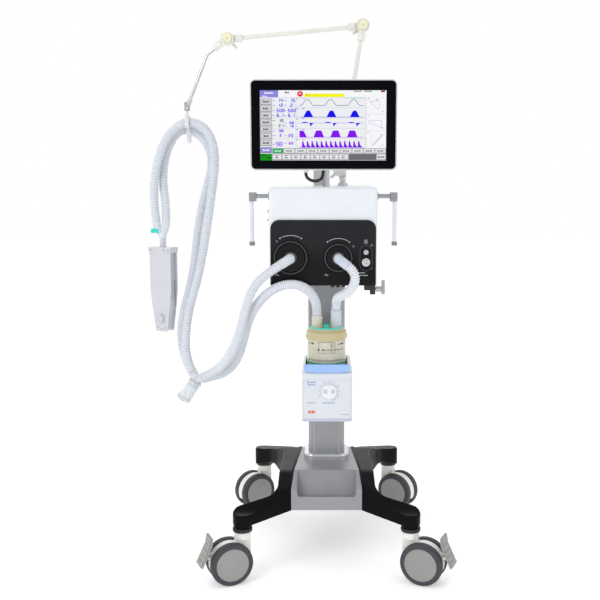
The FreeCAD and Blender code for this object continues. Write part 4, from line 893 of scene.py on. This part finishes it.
def panel_marks():
    """The print on the black panel: turning arcs with padlocks over the ports, round signs and captions."""
    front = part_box("front_panel")[0].y
    made = bmesh.new()
    turning_height = PORT_HEIGHT + 0.0005
    for name, gap, low, high in (("exp", 0.0135, 66, 114), ("insp", 0.0125, 60, 120)):
        x, radius = PORTS[name][1], PORTS[name][2] + gap
        ring(made, x, turning_height, radius, 0.0012, front, low, high)
        for turn in (math.radians(low - 5), math.radians(high + 5)):
            padlock(made, x + radius * math.cos(turn), turning_height + radius * math.sin(turn), front)
    for x, z in ((-0.133, 0.895), (0.072, 0.882), (0.121, 0.885)):
        ring(made, x, z, 0.0028, 0.0007, front, index=1)
        dot(made, x, z, 0.0016, front, 1)
    ring(made, 0.122, 0.822, 0.0014, 0.0006, front, index=1)
    bottle = [(-0.0016, 0.890), (-0.0016, 0.8975), (0, 0.8995), (0.0016, 0.8975), (0.0016, 0.890),
              (-0.0016, 0.890)]
    for middle in (0.1025, 0.1075):
        stroke(made, [(middle + x, z) for x, z in bottle], 0.0006, front)
    letters(made, 0.093, 0.8095, 0.021, 0.003, front)
    letters(made, 0.0975, 0.8025, 0.026, 0.003, front)
    mask = [(-0.003, 0.802), (-0.003, 0.8065), (-0.001, 0.808), (0.001, 0.8065), (0.001, 0.803)]
    for middle in (-0.001, -0.133):
        stroke(made, [(middle + x, z) for x, z in mask], 0.0007, front)
        dot(made, middle + 0.004, 0.8035, 0.0013, front, steps=16)
    recess_x, recess_z, half_wide, half_tall = 0.1055, 0.8505, 0.0155, 0.0335
    rim = []
    for way, start in ((1, 0), (-1, 180)):
        rim += arc(recess_x, recess_z + way * (half_tall - half_wide), half_wide + 0.0006, start,
                   start + 180, 20)
    line(made, rim + rim[:1], 0.0011, front - 0.0003, front + 0.0003, 2)
    piece("panel_marks", made, "trolley", None, MARK_WHITE, MARK_GREY, RIM_GREY)


def port_rings():
    """A lighter grey edge on each lock ring as a painted highlight, grip ribs, and a fine step inside it in the
    same painted highlight grey.
    """
    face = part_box("breathing_ports")[0].y
    for name, (words, x, radius) in PORTS.items():
        centre = Vector((x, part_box(name + "_lock_ring")[0].y, PORT_HEIGHT))
        made = bmesh.new()
        inner, outer = radius - 0.0032, radius - 0.0014
        # Painted highlight: a mid-grey glossy ring on the lock ring's outer front edge of the black port.
        lathe(made, [(inner, 0), (outer, 0), (outer, 0.0003), (inner, 0.0003)], centre, TO_FRONT, 0, 72)
        for n in range(24):
            turn = 2 * math.pi * (n + 0.5) / 24
            grip = centre + Vector((math.cos(turn), 0, math.sin(turn))) * (radius - 0.0003)
            disc(made, 0.0013, 0.0035, grip + Vector((0, 0.0075, 0)), TO_FRONT, 1, 0.0005, 10)
        piece("ring_trim_" + name, made, words + " lock ring", "port_black", RING_HIGHLIGHT_GREY, PORT_BLACK)
        # The step in the port takes the same lighter grey, a painted highlight on its edge.
        step = bmesh.new()
        lathe(step, [(0.0142, -0.001), (0.0166, -0.001), (0.0166, 0.0004), (0.0142, 0.0004)],
              Vector((x, face, PORT_HEIGHT)), TO_FRONT, 0, 48)
        piece("port_step_" + name, step, "trolley", "port_black", RING_HIGHLIGHT_GREY)


def casing_details():
    """Side and rear screws, a seam before the rear panel and a rating plate with generic lines."""
    low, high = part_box("main_casing")
    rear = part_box("rear_panel")[1].y
    seam_front, seam_rear, end, skin = 0.0985, 0.0995, 0.012, 0.0003
    made = bmesh.new()
    for x, way in ((low.x, -TO_RIGHT), (high.x, TO_RIGHT)):
        for y in (-0.125, 0.085):
            for z in (low.z + 0.022, high.z - 0.028):
                if not (way.x > 0 and y < 0 and z > 0.98):
                    screw(made, (x, y, z), way)
        block(made, (x - skin, seam_front, low.z + end), (x + skin, seam_rear, high.z - end), 1)
    block(made, (low.x + end, seam_front, high.z - skin), (high.x - end, seam_rear, high.z + skin), 1)
    for x in (-0.145, -0.009, 0.127):
        for z in (low.z + end, high.z - end):
            screw(made, (x, rear, z), (0, 1, 0))
    block(made, (0.04, rear - skin, 0.905), (0.105, rear + skin, 0.94), 2)
    for n in range(4):
        z = 0.911 + 0.0065 * n
        block(made, (0.045, rear + 0.0002, z), (0.098 - 0.012 * (n % 3), rear + 0.0006, z + 0.0015), 1)
    piece("casing_details", made, "trolley", "casing_white", SCREW, SEAM_GREY, LABEL_SILVER)


def humidifier_marks():
    """The fascia line, generic print and the dial's scale on the humidifier, and its finger dimples, darker grey
    as painted shade.
    """
    fascia_deep = 0.001
    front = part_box("humidifier_body")[0].y + fascia_deep
    made = bmesh.new()
    frame_line = []
    for x, z, start in ((0.0605, 0.5195, 0), (-0.0575, 0.5195, 90), (-0.0575, 0.4215, 180),
                        (0.0605, 0.4215, 270)):
        frame_line += arc(x, z, 0.004, start, start + 90, 5)
    line(made, frame_line + frame_line[:1], 0.0006, front - 0.0001, front + 0.0003, 0)
    for x, z, long, tall_part, index in (
        (-0.0405, 0.5165, 0.024, 0.0042, 1), (-0.0405, 0.5095, 0.019, 0.0042, 1),
        (0.006, 0.4595, 0.034, 0.0034, 1), (-0.0405, 0.4605, 0.025, 0.0024, 2),
        (0.050, 0.4285, 0.022, 0.0020, 2), (-0.040, 0.4305, 0.018, 0.0014, 2),
    ):
        letters(made, x, z, long, tall_part, front, index)
    for x0, x1, index in ((-0.0495, -0.0445, 3), (-0.0440, -0.0405, 4), (-0.0400, -0.0345, 3),
                          (-0.0340, -0.0305, 4)):
        tile(made, x0, 0.4335, x1, 0.4395, front, index)
    dial_x, dial_z, scale_radius = 0.007, 0.493, 0.0275
    for n in range(10):
        turn = math.radians(205 - n * 29)
        dot(made, dial_x + scale_radius * math.cos(turn), dial_z + scale_radius * math.sin(turn),
            0.0011 if n % 3 else 0.0015, front, 1, 14)
    piece("humidifier_marks", made, "trolley", None, FASCIA_LINE, MARK_BLUE, MARK_GREY, MARK_RED, MARK_ORANGE)
    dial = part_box("humidifier_dial")[0].y
    # The finger dimples are a darker grey: painted shade in the hollows.
    dimple = [(0, -0.0006), (0.0056, -0.0006), (0.0056, 0.0003), (0.0048, 0.0006), (0.0036, 0.0001),
              (0, -0.0001)]
    grip = bmesh.new()
    for side in (-0.0105, 0.0105):
        lathe(grip, dimple, (dial_x + side, dial, dial_z + 0.0025), TO_FRONT, 0, 32)
    line(grip, arc(dial_x, dial_z, 0.0198, 0, 360, 40), 0.0005, dial - 0.0003, dial + 0.0003, 1)
    disc(grip, 0.0012, 0.0005, (dial_x, dial + 0.0002, dial_z + 0.015), TO_FRONT, 2, 0.0001, 14)
    piece("dial_dimples", grip, "humidifier dial", "dial_grey", DIMPLE_SHADE_GREY, FASCIA_LINE, MARK_BLUE)


def chamber_details():
    """Level lines and arrows printed round the chamber, the ring on its lid and the water in it."""
    radius = 0.0534
    made = bmesh.new()

    def strip(start, end, low, high):
        """A curved patch between two sideways distances and two heights."""
        steps = max(1, round(abs(end - start) / 0.003))
        rows = []
        for n in range(steps + 1):
            turn = math.asin(max(-0.99, min(0.99, (start + (end - start) * n / steps) / radius)))
            way = Vector((math.sin(turn), -math.cos(turn), 0))
            rows.append([CHAMBER_CENTRE + way * (radius + off) + UP * z for z, off in
                         ((low, -0.0006), (high, -0.0006), (high, 0.0002), (low, 0.0002))])
        loft(made, rows)

    for tip, tail, height in ((-0.014, 0.046, 0.603), (-0.026, -0.018, 0.603), (-0.034, -0.049, 0.6185),
                              (0.047, 0.030, 0.6175)):
        way = 1 if tail > tip else -1
        strip(*sorted((tip + way * 0.005, tail)), height - 0.0006, height + 0.0006)
        for n in range(4):
            rise = 0.0006 + 0.0006 * n
            start = tip + way * 0.0016 * n
            strip(*sorted((start, start + way * 0.0015)), height - rise, height + rise)
    thin = 0.0005
    for reach, heights in (((-0.021, 0.023), (0.594, 0.6235)), ((-0.049, 0.049), (0.572, 0.5745)),
                           ((0.014, 0.019), (0.612,))):
        for low in heights:
            strip(*reach, low, low + thin)
    for x, low, high in ((-0.021, 0.594, 0.624), (0.0125, 0.594, 0.624), (0.0225, 0.594, 0.624),
                         (0.014, 0.612, 0.62)):
        strip(x, x + thin, low, high)
    piece("chamber_marks", made, "trolley", None, MARK_DARK)
    band = [(0.0410, 0.6562), (0.0432, 0.6558), (0.0438, 0.6570), (0.0438, 0.6592), (0.0428, 0.6602),
            (0.0410, 0.6602)]
    level = [(0, 0.561), (0.0487, 0.561), (0.0487, 0.5905), (0.0480, 0.5915), (0, 0.5912)]
    for name, outline, steps, slot, finish in (("rim_seal", band, 72, "seal_green", SEALS),
                                               ("chamber_water", level, 64, None, WATER)):
        made = bmesh.new()
        lathe(made, outline, CHAMBER_CENTRE, UP, 0, steps)
        piece(name, made, "trolley", slot, finish)


def arm_caps():
    """Pale yellow caps on the arm's two upper knuckles, each with a cross of fine bars."""
    outline = [(0, -0.001), (0.0128, -0.001), (0.0128, 0.0008), (0.0118, 0.0018), (0.0095, 0.0018),
               (0.0088, 0.0008), (0, 0.0008)]
    for name, front_node, rides in (("arm elbow", "arm_lower_link", "lower arm"),
                                    ("arm wrist", "arm_end_sleeve", "arm end")):
        centre = joint_place(name)
        centre.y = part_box(front_node)[0].y
        made = bmesh.new()
        lathe(made, outline, centre, TO_FRONT, 0, 40)
        for turn in range(0, 180, 45):
            way = Vector((math.cos(math.radians(turn)), 0, math.sin(math.radians(turn))))
            reach, side = way * 0.0086, Vector((-way.z, 0, way.x)) * 0.0006
            corners = (reach + side, reach - side, -reach - side, -reach + side)
            loft(made, [[centre + corner + TO_FRONT * out for corner in corners] for out in (-0.0002, 0.0015)])
        piece(name.replace(" ", "_") + "_cap", made, rides, "arm_ivory", CAP_YELLOW)


def rail_caps():
    """Grey ends on the two upright posts."""
    low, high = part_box("rail_posts")
    post_radius = 0.0072
    outline = [(0.003, -0.0004), (0.0070, -0.0004), (0.0077, 0.0006), (0.0077, 0.0095), (0.0070, 0.0105),
               (0.003, 0.0105)]
    for side, x in (("left", low.x + post_radius), ("right", high.x - post_radius)):
        made = bmesh.new()
        lathe(made, outline, (x, -0.1, low.z), UP)
        piece("post_caps_" + side, made, "trolley", "post_white", END_GREY)


def lung_details():
    """Screws on the test lung's bar and plate, and the dark folds of its bellows."""
    turn = Matrix.Rotation(math.radians(-26), 3, "Z")
    hang = Vector((-0.468, 0.021, 0.866))

    def at(side, depth, down):
        return hang + turn @ Vector((side, depth, 0)) - UP * down

    made = bmesh.new()
    front = turn @ TO_FRONT
    for side in (-0.030, 0.016, 0.031):
        screw(made, at(side, -0.020, 0.0085), front, 0.0022)
    for side, down in ((-0.012, 0.232), (0.0, 0.237), (0.012, 0.233)):
        screw(made, at(side, -0.017, down), front, 0.0018)
    eyelet = [(0.0085, 0), (0.0102, 0), (0.0102, 0.0009), (0.0085, 0.0009)]
    lathe(made, eyelet, at(0, -0.0240, 0.205), front, 1, 32)
    piece("lung_screws", made, "test lung", None, SCREW, LUNG_WHITE)
    folds = bmesh.new()

    def fold(way, depth, wide, rise, top, foot, index):
        """An upright fold on one side of the bellows, three-cornered in section."""
        corners = [(way * (0.0278 + out), depth + off)
                   for out, off in ((-0.0006, 0), (rise, wide / 2), (-0.0006, wide))]
        loft(folds, [[at(*corner, down) for corner in corners] for down in (top, foot)], index)

    for way in (1, -1):
        for n in range(6):
            fold(way, -0.0100 + n * 0.0036, 0.0022, 0.0014, 0.020, 0.150, 0)
        fold(way, 0.0115, 0.0018, 0.0010, 0.095, 0.170, 1)
    piece("lung_folds", folds, "test lung", "lung_bag", BELLOWS, RUBBER_DARK)


def circuit_details():
    """The cyan tag on the Y-piece, and the rims and ribs of the water traps."""
    made = bmesh.new()
    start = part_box("y_piece")[0].x
    centre = Vector((start, 0.013, 0.912))
    lathe(made, [(0, -0.0006), (0.0056, -0.0006), (0.0064, 0.0004), (0.0064, 0.0048), (0.0054, 0.0056),
                 (0.0054, 0.0072), (0.0064, 0.0080), (0.0064, 0.0132), (0.0054, 0.0140), (0.0054, 0.0156),
                 (0.0064, 0.0164), (0.0064, 0.0214), (0.0056, 0.0220), (0, 0.0220)], centre, TO_RIGHT, 0, 28)
    piece("tag_cyan", made, "hose hanger", None, TAG_CYAN)
    rims = bmesh.new()
    cup_rim = [(0.0160, 0), (0.0187, 0), (0.0192, 0.0010), (0.0192, 0.0060), (0.0184, 0.0070), (0.0150, 0.0070)]
    cup_foot = [(0.0130, 0), (0.0158, 0), (0.0158, 0.0022), (0.0130, 0.0022)]
    for head, hang in (((-0.366, -0.072, 0.5), (-0.5, -0.05, -0.86)),
                       ((-0.372, -0.032, 0.486), (-0.66, 0.08, -0.75))):
        head, hang = Vector(head), Vector(hang).normalized()
        lathe(rims, cup_rim, head + hang * 0.0085, hang, 0, 40)
        for n in range(10):
            turn = 2 * math.pi * n / 10
            first, second = across(hang)
            way = first * math.cos(turn) + second * math.sin(turn)
            disc(rims, 0.0011, 0.0055, head + hang * 0.0093 + way * 0.0192, hang, 0, 0.0004, 8)
        lathe(rims, cup_foot, head + hang * 0.064, hang, 0, 32)
    piece("trap_rims", rims, "arm base", "hose_fitting", FITTING)


def column_edges():
    """Two fine grooves down each side of the column, and pale strips on its front and back."""
    made = bmesh.new()
    base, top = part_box("column_foot_collar")[1].z + 0.0005, 0.7655

    def upright(x0, x1, y0, y1, index):
        block(made, (min(x0, x1), y0, base), (max(x0, x1), y1, top), index)

    for side in (-1, 1):
        for y in (-0.026, 0.026):
            upright(side * 0.0511, side * 0.0518, y - 0.0009, y + 0.0009, 1)
        upright(side * 0.036 - 0.0028, side * 0.036 + 0.0028, -0.0426, -0.0392, 0)
        upright(side * 0.034 - 0.0006, side * 0.034 + 0.0006, 0.0426, 0.0433, 0)
    piece("column_grooves", made, "trolley", "column_aluminium", EXTRUSION_EDGE, SEAM_GREY)


def monitor_rear():
    """Vents and screws on the monitor's back."""
    rear, plate_out = -0.128, 0.012
    made = bmesh.new()
    for x in (-0.17, 0.154):
        for z in (1.103, 1.297):
            screw(made, (x, rear, z), (0, 1, 0), 0.0028)
    for side in (-1, 1):
        for n in range(8):
            x = -0.008 + side * (0.108 + 0.0075 * n)
            block(made, (x - 0.0012, rear - 0.0003, 1.255), (x + 0.0012, rear + 0.0003, 1.292), 1)
    for x in (-0.088, 0.072):
        for z in (1.148, 1.252):
            screw(made, (x, rear + plate_out, z), (0, 1, 0), 0.0028)
    piece("monitor_rear_details", made, "monitor", "monitor_silver", SCREW, MONITOR_SEAM)


def base_details():
    """The raised inner ridge along each leg moulding and the joint round the tray's lip."""
    route = [(0.0972, -0.2115, 0.2262), (0.0885, -0.141, 0.2552), (0.0745, 0.063, 0.2550),
             (0.0745, 0.084, 0.2533), (0.0745, 0.103, 0.2484), (0.0745, 0.225, 0.2053)]
    wide, tall, sunk = 0.010, 0.0022, -0.003
    section = ((0, sunk), (0, tall * 0.6), (0.0012, tall), (wide - 0.002, tall), (wide, sunk))
    made = bmesh.new()
    for side in (-1, 1):
        loft(made, [[Vector((side * (x + out), y, z + rise)) for out, rise in section] for x, y, z in route])
    piece("leg_ridges", made, "trolley", "black_casting", LEG_BLACK)
    lip = bmesh.new()
    block(lip, (-0.0655, -0.2035, 0.1966), (0.0655, -0.2010, 0.2010))
    block(lip, (-0.0600, -0.1985, 0.1966), (0.0600, -0.1960, 0.1985), 1)
    bmesh.ops.bevel(lip, geom=list(lip.edges), offset=0.0006, segments=2, affect="EDGES")
    piece("tray_lip", lip, "trolley", "base_silver", BASE_SILVER, STEEL_GREY)


for build in (panel_marks, port_rings, casing_details, humidifier_marks, chamber_details, arm_caps, rail_caps,
              lung_details, circuit_details, column_edges, monitor_rear, base_details):
    build()


# ---------------------------------------------------------------- surroundings and light
def surroundings():
    """A pale floor, a sky that is darker behind the camera, and four soft lamps."""
    made = bmesh.new()
    bmesh.ops.create_grid(made, x_segments=1, y_segments=1, size=12)
    mesh = bpy.data.meshes.new("Floor")
    made.to_mesh(mesh)
    made.free()
    mesh.materials.append(material("FloorPale", tone(248, 248, 249), rough=0.9, mottle=0.004, grain=0.02,
                                   Emission_Color=(1, 1, 1, 1), Emission_Strength=0.28, Specular_IOR_Level=0))
    floor = bpy.data.objects.new("Floor", mesh)
    bpy.context.scene.collection.objects.link(floor)

    world = bpy.data.worlds.new("Studio")
    world.use_nodes = True
    sky = world.node_tree.nodes["Background"]
    sky.inputs["Color"].default_value = (1, 1, 1, 1)
    place, split = add(world, "TexCoord"), add(world, "SeparateXYZ")
    fade = add(world, "MapRange", From_Min=-0.6, From_Max=0.7, To_Min=0.66, To_Max=1.0)
    wire(world, (place, "Generated", split, "Vector"), (split, "Y", fade, "Value"),
         (fade, "Result", sky, "Strength"))
    bpy.context.scene.world = world

    aim = Vector((-0.05, 0, 0.75))
    for name, place, size, power in (
        ("Key", (-2.2, -3.0, 3.2), 2.4, 52),
        ("Fill", (2.8, -2.4, 2.0), 2.6, 12),
        ("Top", (0.2, 0.6, 4.0), 2.2, 6),
        ("Back", (-0.8, 3.2, 2.4), 2.6, 12),
    ):
        lamp = bpy.data.lights.new(name, "AREA")
        lamp.shape = "DISK"
        lamp.size = size
        lamp.energy = power
        stand = bpy.data.objects.new(name, lamp)
        stand.location = place
        stand.rotation_euler = (aim - Vector(place)).to_track_quat("-Z", "Y").to_euler()
        bpy.context.scene.collection.objects.link(stand)


surroundings()
bpy.context.scene.view_settings.view_transform = "Standard"
